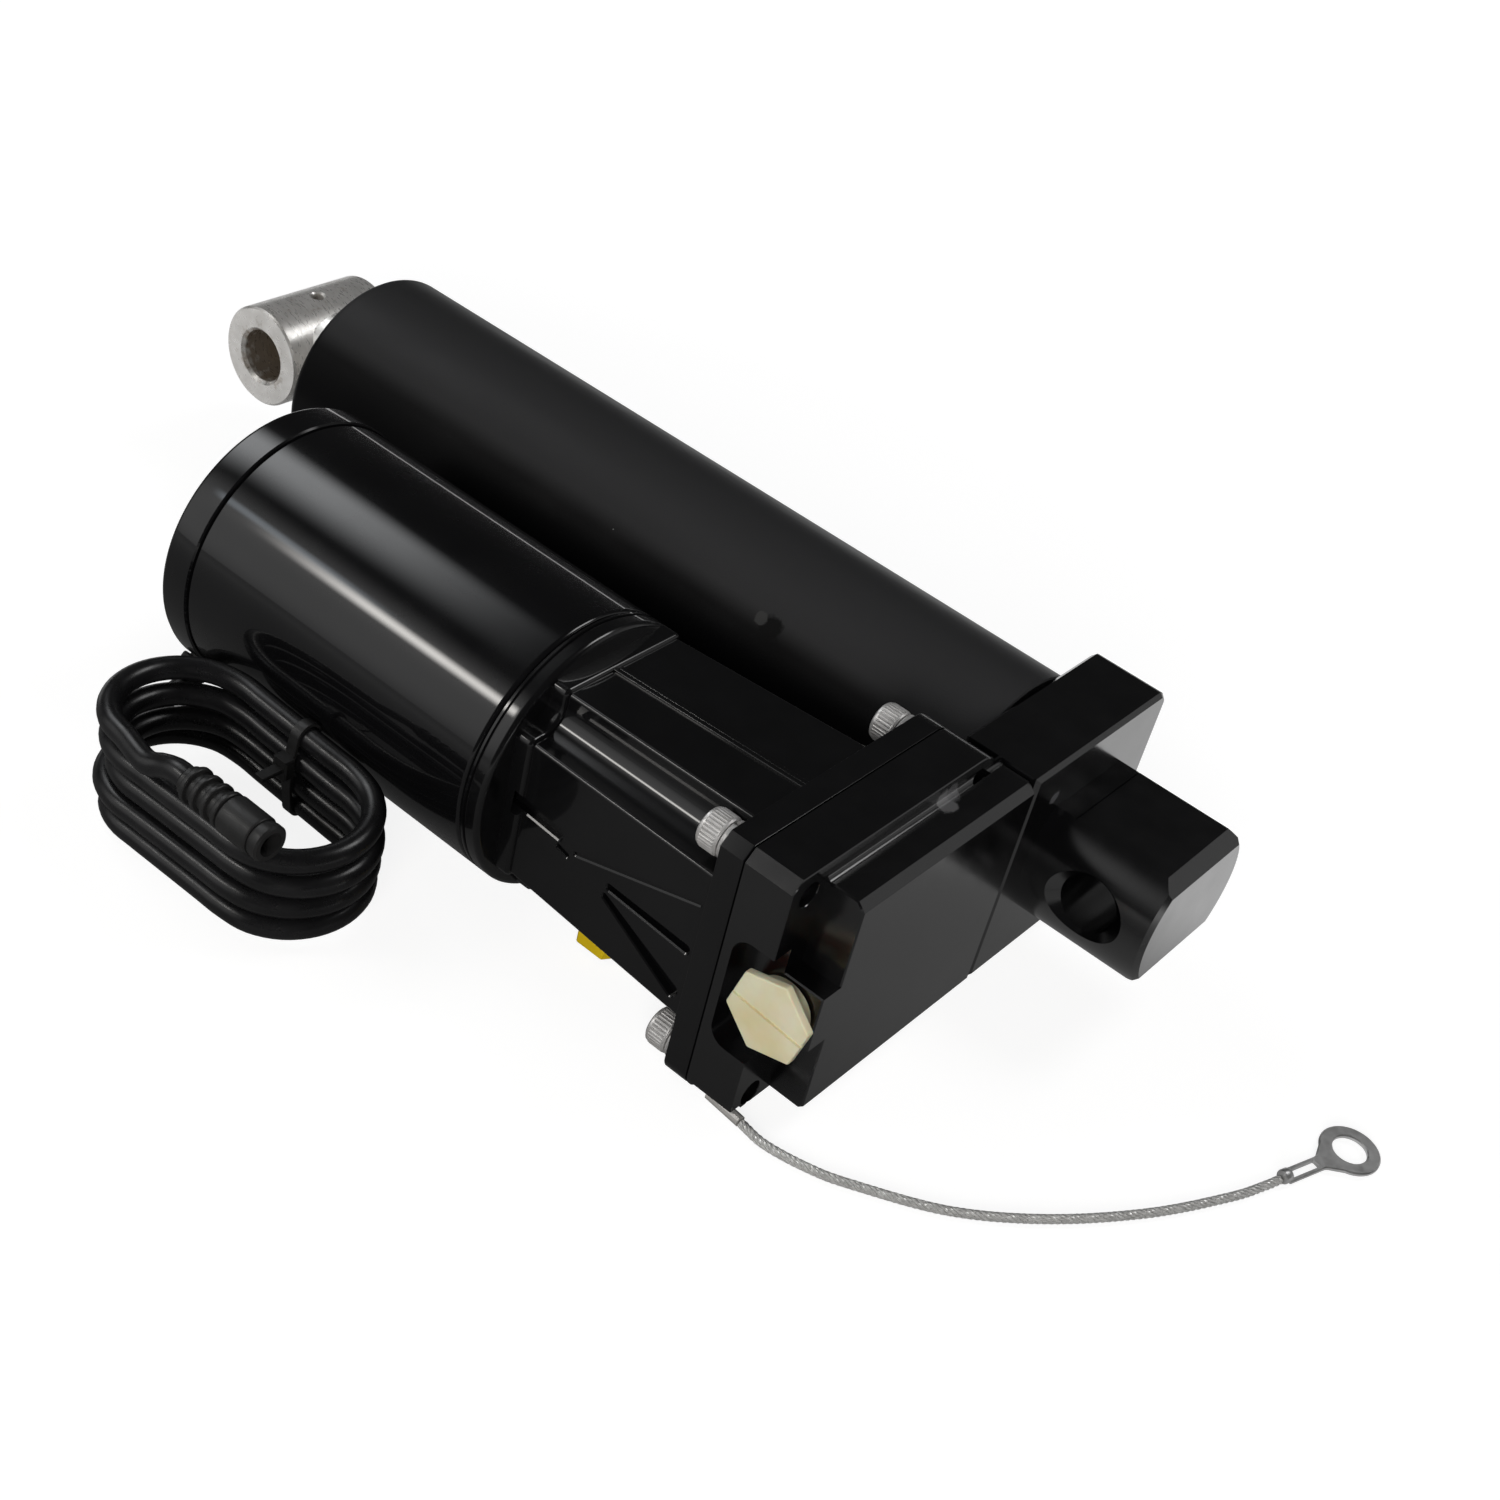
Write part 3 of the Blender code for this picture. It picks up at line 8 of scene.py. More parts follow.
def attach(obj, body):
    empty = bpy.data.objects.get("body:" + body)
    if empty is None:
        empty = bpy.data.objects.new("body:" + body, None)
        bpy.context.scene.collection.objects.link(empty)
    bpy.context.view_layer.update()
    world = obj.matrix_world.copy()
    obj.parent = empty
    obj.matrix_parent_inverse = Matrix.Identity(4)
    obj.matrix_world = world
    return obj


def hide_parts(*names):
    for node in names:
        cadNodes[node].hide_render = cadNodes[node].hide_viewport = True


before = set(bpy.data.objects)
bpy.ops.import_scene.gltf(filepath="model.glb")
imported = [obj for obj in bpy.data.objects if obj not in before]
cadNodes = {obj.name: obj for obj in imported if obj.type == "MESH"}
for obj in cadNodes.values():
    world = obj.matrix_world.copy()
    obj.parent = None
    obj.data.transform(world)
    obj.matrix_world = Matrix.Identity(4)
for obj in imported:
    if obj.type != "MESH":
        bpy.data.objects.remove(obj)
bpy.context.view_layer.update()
print("stage: frame loaded,", len(cadNodes), "nodes")

mm = 0.001
weld = 0.0005  # mm, points nearer than this are one
sharpAngle = 32
floorLevel = -31.55  # mm, seen from the tube's axis
toModel = Vector((-87.8, -35.175, 31.55))  # mm, from the tube's axis at the case joint to the model's origin
turnFrames = {
    "X": (Vector((0, 1, 0)), Vector((0, 0, 1)), Vector((1, 0, 0))),
    "Y": (Vector((0, 0, 1)), Vector((1, 0, 0)), Vector((0, 1, 0))),
    "Z": (Vector((1, 0, 0)), Vector((0, 1, 0)), Vector((0, 0, 1))),
}

cameraView = {
    "place": (-0.24026, 0.322985, 0.31142),
    "right": (-0.754144, -0.624013, 0.204634),
    "up": (0.514368, -0.367548, 0.774812),
    "back": (-0.408280, 0.689577, 0.598157),
    "lens": 53.84, "sensor": 36,
}


def newObject(name, data):
    made = bpy.data.objects.new(name, data)
    bpy.context.scene.collection.objects.link(made)
    return made


def facing(right, up, back, place):
    return Matrix.Translation(place) @ Matrix((right, up, back)).transposed().to_4x4()


def makeCamera(view):
    data = bpy.data.cameras.new("photoCamera")
    data.sensor_width = view["sensor"]
    data.lens = view["lens"]
    camera = newObject("photoCamera", data)
    camera.matrix_world = facing(view["right"], view["up"], view["back"], view["place"])
    bpy.context.scene.camera = camera


makeCamera(cameraView)
print("stage: camera set")


# nodes: a value given to an input is set there, an output is linked to it

def feed(tree, socket, value):
    if isinstance(value, bpy.types.NodeSocket):
        tree.links.new(value, socket)
    else:
        socket.default_value = value


def addNode(tree, kind, **values):
    node = tree.nodes.new(kind)
    for name, value in values.items():
        if name in node.inputs:
            feed(tree, node.inputs[name], value)
        else:
            setattr(node, name, value)
    return node


def maths(tree, operation, *inputs, kind="ShaderNodeMath"):
    node = addNode(tree, kind, operation=operation)
    for socket, value in zip(node.inputs, inputs):
        feed(tree, socket, value)
    return node.outputs["Value"]


def vectors(tree, operation, *inputs):
    return maths(tree, operation, *inputs, kind="ShaderNodeVectorMath")


def ranged(tree, value, start, end, low=0.0, high=1.0, way="LINEAR"):
    node = addNode(
        tree, "ShaderNodeMapRange", interpolation_type=way,
        **{"Value": value, "From Min": start, "From Max": end, "To Min": low, "To Max": high},
    )
    return node.outputs["Result"]


def tinted(tree, colour, shade, share):
    mix = addNode(tree, "ShaderNodeMix", data_type="RGBA", A=colour, B=(*shade, 1), Factor=share)
    return mix.outputs["Result"]


def noiseOver(tree, spot, scale, detail, stretch=(1, 1, 1)):
    mapping = addNode(tree, "ShaderNodeMapping", Vector=spot, Scale=stretch)
    noise = addNode(tree, "ShaderNodeTexNoise", Vector=mapping.outputs["Vector"], Scale=scale, Detail=detail)
    return noise.outputs["Fac"]


# finishes: clouds change the tone and the roughness, grain is the fine bump, specks are dust

cloudSpan = (0.3, 0.7)
smearScale = 2.3  # smears are finer than the clouds
raggedScale = 520
usualDepth = 0.00004
usualSpeck = (0.3, 0.3, 0.3)


def makeFinish(name, look):
    material = bpy.data.materials.new(name)
    material.use_nodes = True
    tree = material.node_tree
    shader = tree.nodes["Principled BSDF"]
    for socket, value in look["shader"].items():
        shader.inputs[socket].default_value = value
    coords = addNode(tree, "ShaderNodeTexCoord").outputs
    spot = coords["Object"]
    stretch = look.get("stretch", (1, 1, 1))
    clouds = noiseOver(tree, spot, look["cloudScale"], 4, stretch)
    tones = addNode(tree, "ShaderNodeValToRGB", Fac=clouds)
    for stop, place, tone in zip(tones.color_ramp.elements, cloudSpan, (look["dark"], look["light"])):
        stop.position = place
        stop.color = (*tone, 1)
    colour = tones.outputs["Color"]
    smears = noiseOver(tree, spot, look["cloudScale"] * smearScale, 3, stretch)
    feed(tree, shader.inputs["Roughness"], ranged(tree, smears, *cloudSpan, *look["roughness"]))
    grain = noiseOver(tree, spot, look["grainScale"], 2, look.get("grainStretch", stretch))
    depth = look.get("grainDepth", usualDepth)
    bump = addNode(tree, "ShaderNodeBump", Strength=look["grain"], Distance=depth, Height=grain)
    feed(tree, shader.inputs["Normal"], bump.outputs["Normal"])
    if "specks" in look:  # a few small pale dots
        cells = addNode(tree, "ShaderNodeTexVoronoi", Vector=spot, Scale=look["specks"]).outputs
        near = maths(tree, "LESS_THAN", cells["Distance"], look["speckSize"])
        red = addNode(tree, "ShaderNodeSeparateColor", Color=cells["Color"]).outputs["Red"]
        chosen = maths(tree, "GREATER_THAN", red, look["speckRarity"])
        dots = maths(tree, "MULTIPLY", near, chosen)
        colour = tinted(tree, colour, look.get("speckColour", usualSpeck), dots)
    if "dust" in look:  # painted light: what faces up is lighter, the flanks stay darker as painted shade
        upward = addNode(tree, "ShaderNodeSeparateXYZ", Vector=coords["Normal"]).outputs["Z"]
        paintedTopShare = ranged(tree, upward, look["dustFrom"], look["dustFull"], way="SMOOTHSTEP")
        colour = tinted(tree, colour, look["dust"], paintedTopShare)
    for middle, radius, shade in look.get("marks", []):  # smudges, scuffs and painted shade, in millimetres
        away = vectors(tree, "DISTANCE", spot, (Vector(middle) + toModel) * mm)
        ragged = maths(tree, "MULTIPLY_ADD", noiseOver(tree, spot, raggedScale, 4), radius * 1.2 * mm, away)
        edge = ranged(tree, ragged, radius * 1.8 * mm, radius * 1.5 * mm, 0.0, 0.9)
        colour = tinted(tree, colour, shade, edge)
    feed(tree, shader.inputs["Base Color"], colour)
    return material


def worked(shader, dark, light, cloudScale, roughness, grain, grainScale, **more):
    look = {"shader": shader, "dark": dark, "light": light, "cloudScale": cloudScale, "roughness": roughness}
    return {**look, "grain": grain, "grainScale": grainScale, **more}


plain, metal = {"Metallic": 0.0, "IOR": 1.5}, {"Metallic": 1.0}
finishLooks = {  # shader, two tones, cloud scale, roughness, grain and its scale, then what is special
    "matteTubeCoat": worked(
        {**plain, "Specular IOR Level": 0.06}, (0.003, 0.003, 0.0033), (0.005, 0.005, 0.0054), 55,
        (0.36, 0.46), 0.45, 2600, stretch=(0.35, 1, 1), grainStretch=(1, 1, 1),
        # the tube's top painted lighter than its flanks, painted light and shade
        dust=(0.034, 0.034, 0.0353), dustFrom=0.59, dustFull=0.75,
        specks=260, speckRarity=0.985, speckSize=0.1,
        marks=[
            ((50.6, 20.1, 17.9), 2.6, (0.004, 0.004, 0.004)), ((53.5, 19.6, 18.4), 1.4, (0.05, 0.05, 0.05)),
        ],
    ),
    "glossMotorPaint": worked(
        {**plain, "Specular IOR Level": 0.12, "Coat Weight": 1.0, "Coat Roughness": 0.035},
        (0.003, 0.003, 0.0034), (0.005, 0.005, 0.0056), 40, (0.2, 0.3), 0.05, 420, grainDepth=0.00006,
        specks=240, speckRarity=0.993, speckSize=0.07,
    ),
    "castCasePaint": worked(
        {**plain, "Specular IOR Level": 0.2, "Coat Weight": 1.0, "Coat Roughness": 0.04},
        (0.0025, 0.0025, 0.0028), (0.0045, 0.0045, 0.005), 60, (0.28, 0.38), 0.08, 900,
        specks=200, speckRarity=0.985, speckSize=0.08, speckColour=(0.5, 0.5, 0.5),
    ),
    "blackAnodised": worked(
        {"Metallic": 0.0, "IOR": 2.0}, (0.002, 0.002, 0.0023), (0.0035, 0.0035, 0.004), 70,
        (0.16, 0.22), 0.06, 1500, grainStretch=(1, 0.12, 1),
        specks=230, speckRarity=0.988, speckSize=0.08, speckColour=(0.35, 0.35, 0.35),
        marks=[
            ((-12.2, 46.2, 25.6), 2.3, (0.16, 0.16, 0.165)), ((-11.6, 43.0, 26.6), 1.7, (0.1, 0.1, 0.105)),
            ((-20.8, 15.2, 17.5), 1.5, (0.14, 0.14, 0.15)),
        ],
    ),
    "satinStainless": worked(
        {"Metallic": 0.6}, (0.72, 0.705, 0.68), (0.92, 0.905, 0.88), 240, (0.24, 0.38), 0.12, 900,
        stretch=(1, 3, 1), grainStretch=(0.4, 6, 0.4), grainDepth=0.00003,
        marks=[((213.6, y, 0), 9.6, (0.28, 0.22, 0.16)) for y in (-8, 0, 8)],  # painted shade inside the bore, tinted brown as oil
    ),
    "ropeSteel": worked(
        {"Metallic": 0.45}, (0.62, 0.62, 0.61), (0.84, 0.84, 0.83), 900,
        (0.25, 0.4), 0.1, 5000, grainDepth=0.00002,
    ),
    "boltSteel": worked(
        {"Metallic": 0.6}, (0.64, 0.63, 0.62), (0.82, 0.81, 0.8), 400,
        (0.3, 0.44), 0.08, 2500, grainDepth=0.00002,
    ),
    "pressedTerminal": worked(
        {"Metallic": 0.75}, (0.4, 0.4, 0.4), (0.53, 0.53, 0.53), 320,
        (0.28, 0.42), 0.1, 1800, grainDepth=0.00002,
    ),
    "creamNylon": worked(
        {"Metallic": 0.0, "IOR": 1.53, "Subsurface Weight": 0.25, "Subsurface Scale": 0.003},
        (0.8, 0.7, 0.42), (0.9, 0.85, 0.64), 90, (0.36, 0.5), 0.12, 1400,
    ),
    "yellowPlastic": worked(plain, (0.72, 0.5, 0.008), (0.85, 0.62, 0.015), 150, (0.38, 0.5), 0.12, 1500),
    "blackCableSheath": worked(
        plain, (0.006, 0.006, 0.0065), (0.012, 0.012, 0.013), 140,
        (0.24, 0.34), 0.15, 700, grainDepth=0.00006,
    ),
    "blackRubber": worked(plain, (0.01, 0.01, 0.01), (0.02, 0.02, 0.02), 180, (0.5, 0.65), 0.2, 2200),
    "blackPlastic": worked(plain, (0.012, 0.012, 0.012), (0.02, 0.02, 0.02), 160, (0.36, 0.48), 0.18, 2400),
    "greenPlastic": worked(plain, (0.0, 0.13, 0.07), (0.01, 0.2, 0.11), 300, (0.35, 0.45), 0.1, 2400),
    "gearSteel": worked(metal, (0.3, 0.3, 0.31), (0.45, 0.45, 0.46), 220, (0.28, 0.42), 0.12, 1600),
    "bearingBronze": worked(metal, (0.55, 0.36, 0.14), (0.68, 0.46, 0.2), 200, (0.3, 0.44), 0.12, 1600),
    "windingCopper": worked(
        metal, (0.6, 0.26, 0.12), (0.78, 0.38, 0.2), 500, (0.28, 0.42), 0.5, 2400, grainDepth=0.0001,
    ),
    "greyFerrite": worked(
        {"Metallic": 0.0}, (0.06, 0.06, 0.065), (0.1, 0.1, 0.11), 260, (0.5, 0.65), 0.25, 3000,
    ),
    "brushCarbon": worked(
        {"Metallic": 0.2}, (0.03, 0.03, 0.03), (0.06, 0.06, 0.06), 300, (0.45, 0.6), 0.2, 3000,
    ),
}
finishes = {name: makeFinish(name, look) for name, look in finishLooks.items()}
slotFinishes = {
    "black_anodised": "blackAnodised", "black_paint": "castCasePaint", "black_matte": "matteTubeCoat",
    "stainless": "satinStainless", "gear_steel": "gearSteel", "bronze": "bearingBronze",
    "nylon": "creamNylon", "yellow_plastic": "yellowPlastic", "black_rubber": "blackRubber",
    "black_plastic": "blackPlastic", "copper": "windingCopper", "ferrite": "greyFerrite",
    "carbon": "brushCarbon",
}
for node in cadNodes.values():  # pieces that stay as they are get a worked finish
    slotName = node.data.materials[0].name.split(".")[0]
    node.data.materials[0] = finishes[slotFinishes[slotName]]
print("stage: finishes made,", len(finishes))


# shapes are drawn in millimetres about the tube's axis

def framing(along):
    if isinstance(along, str):
        return turnFrames[along]
    ahead = Vector(along).normalized()
    side = ahead.orthogonal().normalized()
    return side, ahead.cross(side), ahead


def arc(along, radius, size, start, end, steps=6):
    angles = [math.radians(start + (end - start) * i / steps) for i in range(steps + 1)]
    return [(along + size * math.cos(a), radius + size * math.sin(a)) for a in angles]


def lathe(profile, along="X", centre=(0, 0, 0), segments=96):
    side, up, ahead = framing(along)
    angles = [2 * math.pi * i / segments for i in range(segments)]
    rays = [side * math.cos(a) + up * math.sin(a) for a in angles]
    shape = bmesh.new()
    rings = []
    for place, radius in profile:
        spot = Vector(centre) + ahead * place
        if not radius:  # the end of a closed shape
            rings.append([shape.verts.new(spot)])
            continue
        rings.append([shape.verts.new(spot + ray * radius) for ray in rays])
    hollow = profile[0][1] > 0 and profile[-1][1] > 0
    for first, second in zip(rings, rings[1:] + (rings[:1] if hollow else [])):
        if len(first) == len(second) == 1:
            continue
        for i in range(segments):
            j = (i + 1) % segments
            corners = [ring[k % len(ring)] for ring, k in ((first, i), (first, j), (second, j), (second, i))]
            shape.faces.new(list(dict.fromkeys(corners)))
    bmesh.ops.recalc_face_normals(shape, faces=shape.faces)
    return shape


def drum(start, end, radius, **where):
    return lathe([(start, 0), (start, radius), (end, radius), (end, 0)], **where)


def skinned(shape, rings):
    for first, second in zip(rings, rings[1:]):
        for i in range(len(first)):
            j = (i + 1) % len(first)
            shape.faces.new((first[i], first[j], second[j], second[i]))
    shape.faces.new(rings[0])
    shape.faces.new(rings[-1])
    bmesh.ops.recalc_face_normals(shape, faces=shape.faces)
    return shape


def rounded(points, sizes, steps=5):
    made = []
    count = len(points)
    sizes = sizes if hasattr(sizes, "__len__") else [sizes] * count
    for i, size in enumerate(sizes):
        here = Vector(points[i])
        if not size:
            made.append(here)
            continue
        before = (Vector(points[i - 1]) - here).normalized()
        after = (Vector(points[(i + 1) % count]) - here).normalized()
        half = before.angle(after) / 2
        reach = size / math.tan(half) if size > 0 else -size
        start, end = here + before * reach, here + after * reach
        if size < 0:  # a flat corner
            made += [start, end]
            continue
        centre = here + (before + after).normalized() * (size / math.sin(half))
        swing = (start - centre).angle(end - centre)
        for k in range(steps + 1):
            t = k / steps
            ray = (start - centre) * math.sin((1 - t) * swing) + (end - centre) * math.sin(t * swing)
            made.append(centre + ray / math.sin(swing))
    return made


def inset(outline, amount):
    count = len(outline)
    area = sum(a.x * b.y - b.x * a.y for a, b in zip(outline, outline[1:] + outline[:1]))
    sign = 1 if area > 0 else -1
    made = []
    for i, here in enumerate(outline):
        ahead = (outline[(i + 1) % count] - here).normalized()
        behind = (here - outline[i - 1]).normalized()
        inward = (Vector((-ahead.y, ahead.x)) + Vector((-behind.y, behind.x))) * sign
        made.append(here + inward * (amount / max(inward.length_squared / 2, 0.3)))
    return made


def prism(outline, start, end, along="X", centre=(0, 0, 0), edge=0.4, steps=1, scaleEnd=1.0):
    side, up, ahead = framing(along)
    outline = [Vector(point) for point in outline]
    turns = [0.5 * math.pi * k / steps for k in range(steps + 1)]
    levels = [(edge * (1 - math.sin(turn)), edge * (1 - math.cos(turn))) for turn in turns]
    rows = [(start + rise, amount, 1.0) for amount, rise in levels]
    rows += [(end - rise, amount, scaleEnd) for amount, rise in levels[::-1]]
    if not edge:
        rows = [(start, 0, 1.0), (end, 0, scaleEnd)]
    shape = bmesh.new()
    rings = []
    for place, amount, scale in rows:
        ring = [point * scale for point in (inset(outline, amount) if amount else outline)]
        base = Vector(centre) + ahead * place
        rings.append([shape.verts.new(base + side * p.x + up * p.y) for p in ring])
    return skinned(shape, rings)


def box(lowU, highU, lowV, highV):
    return [(lowU, lowV), (highU, lowV), (highU, highV), (lowU, highV)]


def hexagon(acrossFlats, turn=0.0):
    reach = acrossFlats / math.sqrt(3)
    angles = [turn + i * math.pi / 3 for i in range(6)]
    return [(reach * math.cos(a), reach * math.sin(a)) for a in angles]


def asMesh(shape, name):
    mesh = bpy.data.meshes.new(name)
    shape.to_mesh(mesh)
    shape.free()
    return mesh


def asShape(*meshes):
    made = bmesh.new()
    for mesh in meshes:
        made.from_mesh(mesh)
    return made


def plainMesh(thing):
    graph = bpy.context.evaluated_depsgraph_get()
    return bpy.data.meshes.new_from_object(thing.evaluated_get(graph))


def plus(*shapes):
    return [("UNION", shape) for shape in shapes]


def minus(*shapes):
    return [("DIFFERENCE", shape) for shape in shapes]


def carve(base, steps):
    target = newObject("draft", asMesh(base, "draft"))
    tools = []
    for how, shape in steps:
        tool = newObject("draft", asMesh(shape, "draft"))
        tool.hide_render = True
        tools.append(tool)
        cut = target.modifiers.new("cut", "BOOLEAN")
        cut.operation = how
        cut.solver = "EXACT"
        cut.object = tool
    made = asShape(plainMesh(target))
    for item in [target] + tools:
        bpy.data.objects.remove(item)
    bmesh.ops.remove_doubles(made, verts=made.verts, dist=weld)
    bmesh.ops.dissolve_degenerate(made, edges=made.edges, dist=weld)
    return made


def addPiece(name, shape, finish, nodes, body="body", weighted=True):
    mesh = shape
    if isinstance(shape, bmesh.types.BMesh):
        for vertex in shape.verts:
            vertex.co = (vertex.co + toModel) * mm
        mesh = asMesh(shape, name)
    mesh.name = name
    mesh.materials.clear()
    for used in finish if isinstance(finish, list) else [finish]:
        mesh.materials.append(finishes[used])
    mesh.polygons.foreach_set("use_smooth", [True] * len(mesh.polygons))
    mesh.set_sharp_from_angle(angle=math.radians(sharpAngle))
    piece = newObject(name, mesh)
    if weighted:  # keeps the flats flat beside their rounded edges
        even = piece.modifiers.new("even", "WEIGHTED_NORMAL")
        even.keep_sharp = True
        piece.data = plainMesh(piece)
        piece.modifiers.clear()
        piece.data.name = name
    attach(piece, body)
    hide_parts(*nodes)
    return piece


# node trees for what repeats or follows a path

def startTree(name, inputs):
    tree = bpy.data.node_groups.new(name, "GeometryNodeTree")
    for label, kind in [("Geometry", "NodeSocketGeometry")] + inputs + [("Finish", "NodeSocketMaterial")]:
        tree.interface.new_socket(label, in_out="INPUT", socket_type=kind)
    tree.interface.new_socket("Geometry", in_out="OUTPUT", socket_type="NodeSocketGeometry")
    return tree, tree.nodes.new("NodeGroupInput").outputs


def endTree(tree, given, shape):
    whole = addNode(tree, "GeometryNodeRealizeInstances", Geometry=shape).outputs["Geometry"]
    paint = addNode(tree, "GeometryNodeSetMaterial", Geometry=whole, Material=given["Finish"])
    addNode(tree, "NodeGroupOutput", Geometry=paint.outputs["Geometry"])
    return tree


def runTree(thing, tree, values):
    step = thing.modifiers.new(tree.name, "NODES")
    step.node_group = tree
    for item in tree.interface.items_tree:
        if item.item_type == "SOCKET" and item.in_out == "INPUT" and item.name in values:
            step[item.identifier] = values[item.name]
    mesh = plainMesh(thing)
    bpy.data.objects.remove(thing)
    return mesh


def strandTree():
    tree, given = startTree("twistedStrands", [
        ("Strands", "NodeSocketInt"), ("Strand Radius", "NodeSocketFloat"), ("Lay Radius", "NodeSocketFloat"),
        ("Turns", "NodeSocketFloat"), ("Sides", "NodeSocketInt"),
    ])
    along = addNode(tree, "GeometryNodeSplineParameter").outputs["Factor"]
    twist = maths(tree, "MULTIPLY", maths(tree, "MULTIPLY", along, given["Turns"]), 2 * math.pi)
    path = addNode(tree, "GeometryNodeSetCurveTilt", Curve=given["Geometry"], Tilt=twist)
    number = addNode(tree, "GeometryNodeInputIndex").outputs["Index"]
    angle = maths(tree, "MULTIPLY", maths(tree, "DIVIDE", number, given["Strands"]), 2 * math.pi)
    ray = addNode(tree, "ShaderNodeCombineXYZ", X=maths(tree, "COSINE", angle), Y=maths(tree, "SINE", angle))
    spot = addNode(
        tree, "ShaderNodeVectorMath", operation="SCALE", Vector=ray.outputs["Vector"],
        Scale=given["Lay Radius"],
    )
    lay = addNode(tree, "GeometryNodePoints", Count=given["Strands"], Position=spot.outputs["Vector"])
    strand = addNode(
        tree, "GeometryNodeCurvePrimitiveCircle", Resolution=given["Sides"], Radius=given["Strand Radius"],
    )
    ring = addNode(
        tree, "GeometryNodeInstanceOnPoints", Points=lay.outputs["Geometry"],
        Instance=strand.outputs["Curve"],
    )
    profile = addNode(tree, "GeometryNodeRealizeInstances", Geometry=ring.outputs["Instances"])
    sweep = addNode(tree, "GeometryNodeCurveToMesh", **{
        "Curve": path.outputs["Curve"], "Profile Curve": profile.outputs["Geometry"], "Fill Caps": True,
    })
    return endTree(tree, given, sweep.outputs["Mesh"])


def scatterTree():
    tree, given = startTree("setAtPoints", [("Shape", "NodeSocketObject")])
    shape = addNode(tree, "GeometryNodeObjectInfo", Object=given["Shape"]).outputs["Geometry"]
    turn = addNode(tree, "GeometryNodeInputNamedAttribute", data_type="FLOAT", Name="turn")
    spin = addNode(tree, "ShaderNodeCombineXYZ", X=turn.outputs["Attribute"]).outputs["Vector"]
    put = addNode(
        tree, "GeometryNodeInstanceOnPoints", Points=given["Geometry"], Instance=shape, Rotation=spin,
    )
    return endTree(tree, given, put.outputs["Instances"])


strands = strandTree()
scatter = scatterTree()


def setAtSpots(shape, spots, turns, finish):
    template = newObject("template", asMesh(shape, "template"))
    points = bpy.data.meshes.new("spots")
    points.from_pydata(spots, [], [])
    points.attributes.new("turn", "FLOAT", "POINT").data.foreach_set("value", turns)
    values = {"Shape": template, "Finish": finishes[finish]}
    made = asShape(runTree(newObject("spots", points), scatter, values))
    bpy.data.objects.remove(template)
    return made


# cords: the routes follow the solids' centrelines

def smoothRoute(points, spacing, parts=20):
    points = [Vector(point) for point in points]
    ends = [2 * points[0] - points[1]] + points + [2 * points[-1] - points[-2]]
    fine = []
    for a, b, c, d in zip(ends, ends[1:], ends[2:], ends[3:]):
        for i in range(parts):
            t = i / parts
            curve = 2 * b + (c - a) * t + (2 * a - 5 * b + 4 * c - d) * t**2 + (3 * b - a - 3 * c + d) * t**3
            fine.append(0.5 * curve)
    fine.append(points[-1])
    steps = [(b - a).length for a, b in zip(fine, fine[1:])]
    count = max(2, round(sum(steps) / spacing))
    route = [fine[0]]
    travelled, i = 0.0, 0
    for k in range(1, count):
        wanted = sum(steps) * k / count
        while travelled + steps[i] < wanted:
            travelled += steps[i]
            i += 1
        route.append(fine[i].lerp(fine[i + 1], (wanted - travelled) / steps[i]))
    return route + [fine[-1]]


def sweptCord(route, values):
    curve = bpy.data.curves.new("route", "CURVE")
    curve.dimensions = "3D"
    spline = curve.splines.new("POLY")
    spline.points.add(len(route) - 1)
    for point, spot in zip(spline.points, route):
        point.co = (*spot, 1)
    return runTree(newObject("route", curve), strands, values)


def inMetres(route):
    return [(Vector(point) + toModel) * mm for point in route]


def lengthOf(route):
    return sum((b - a).length for a, b in zip(route, route[1:]))


earthRope = {
    "radius": 1.0, "lift": 0.1, "spacing": 0.6, "strands": 6, "strandRadius": 0.37, "layLength": 8.0,
    "route": [
        (-13.6, 91.3), (-20.0, 91.9), (-29.0, 90.0), (-37.0, 86.7), (-53.7, 77.0),
        (-67.9, 63.3), (-80.4, 46.3), (-89.3, 29.8), (-92.6, 21.6), (-93.9, 17.6),
    ],
    "eye": (-100.2, -1.6), "eyeRadius": 6.5, "eyeHole": 3.7, "eyeThick": 1.0,
    "crimp": 2.6, "neckHalf": 1.65, "rail": 0.7, "window": 8.0,
}


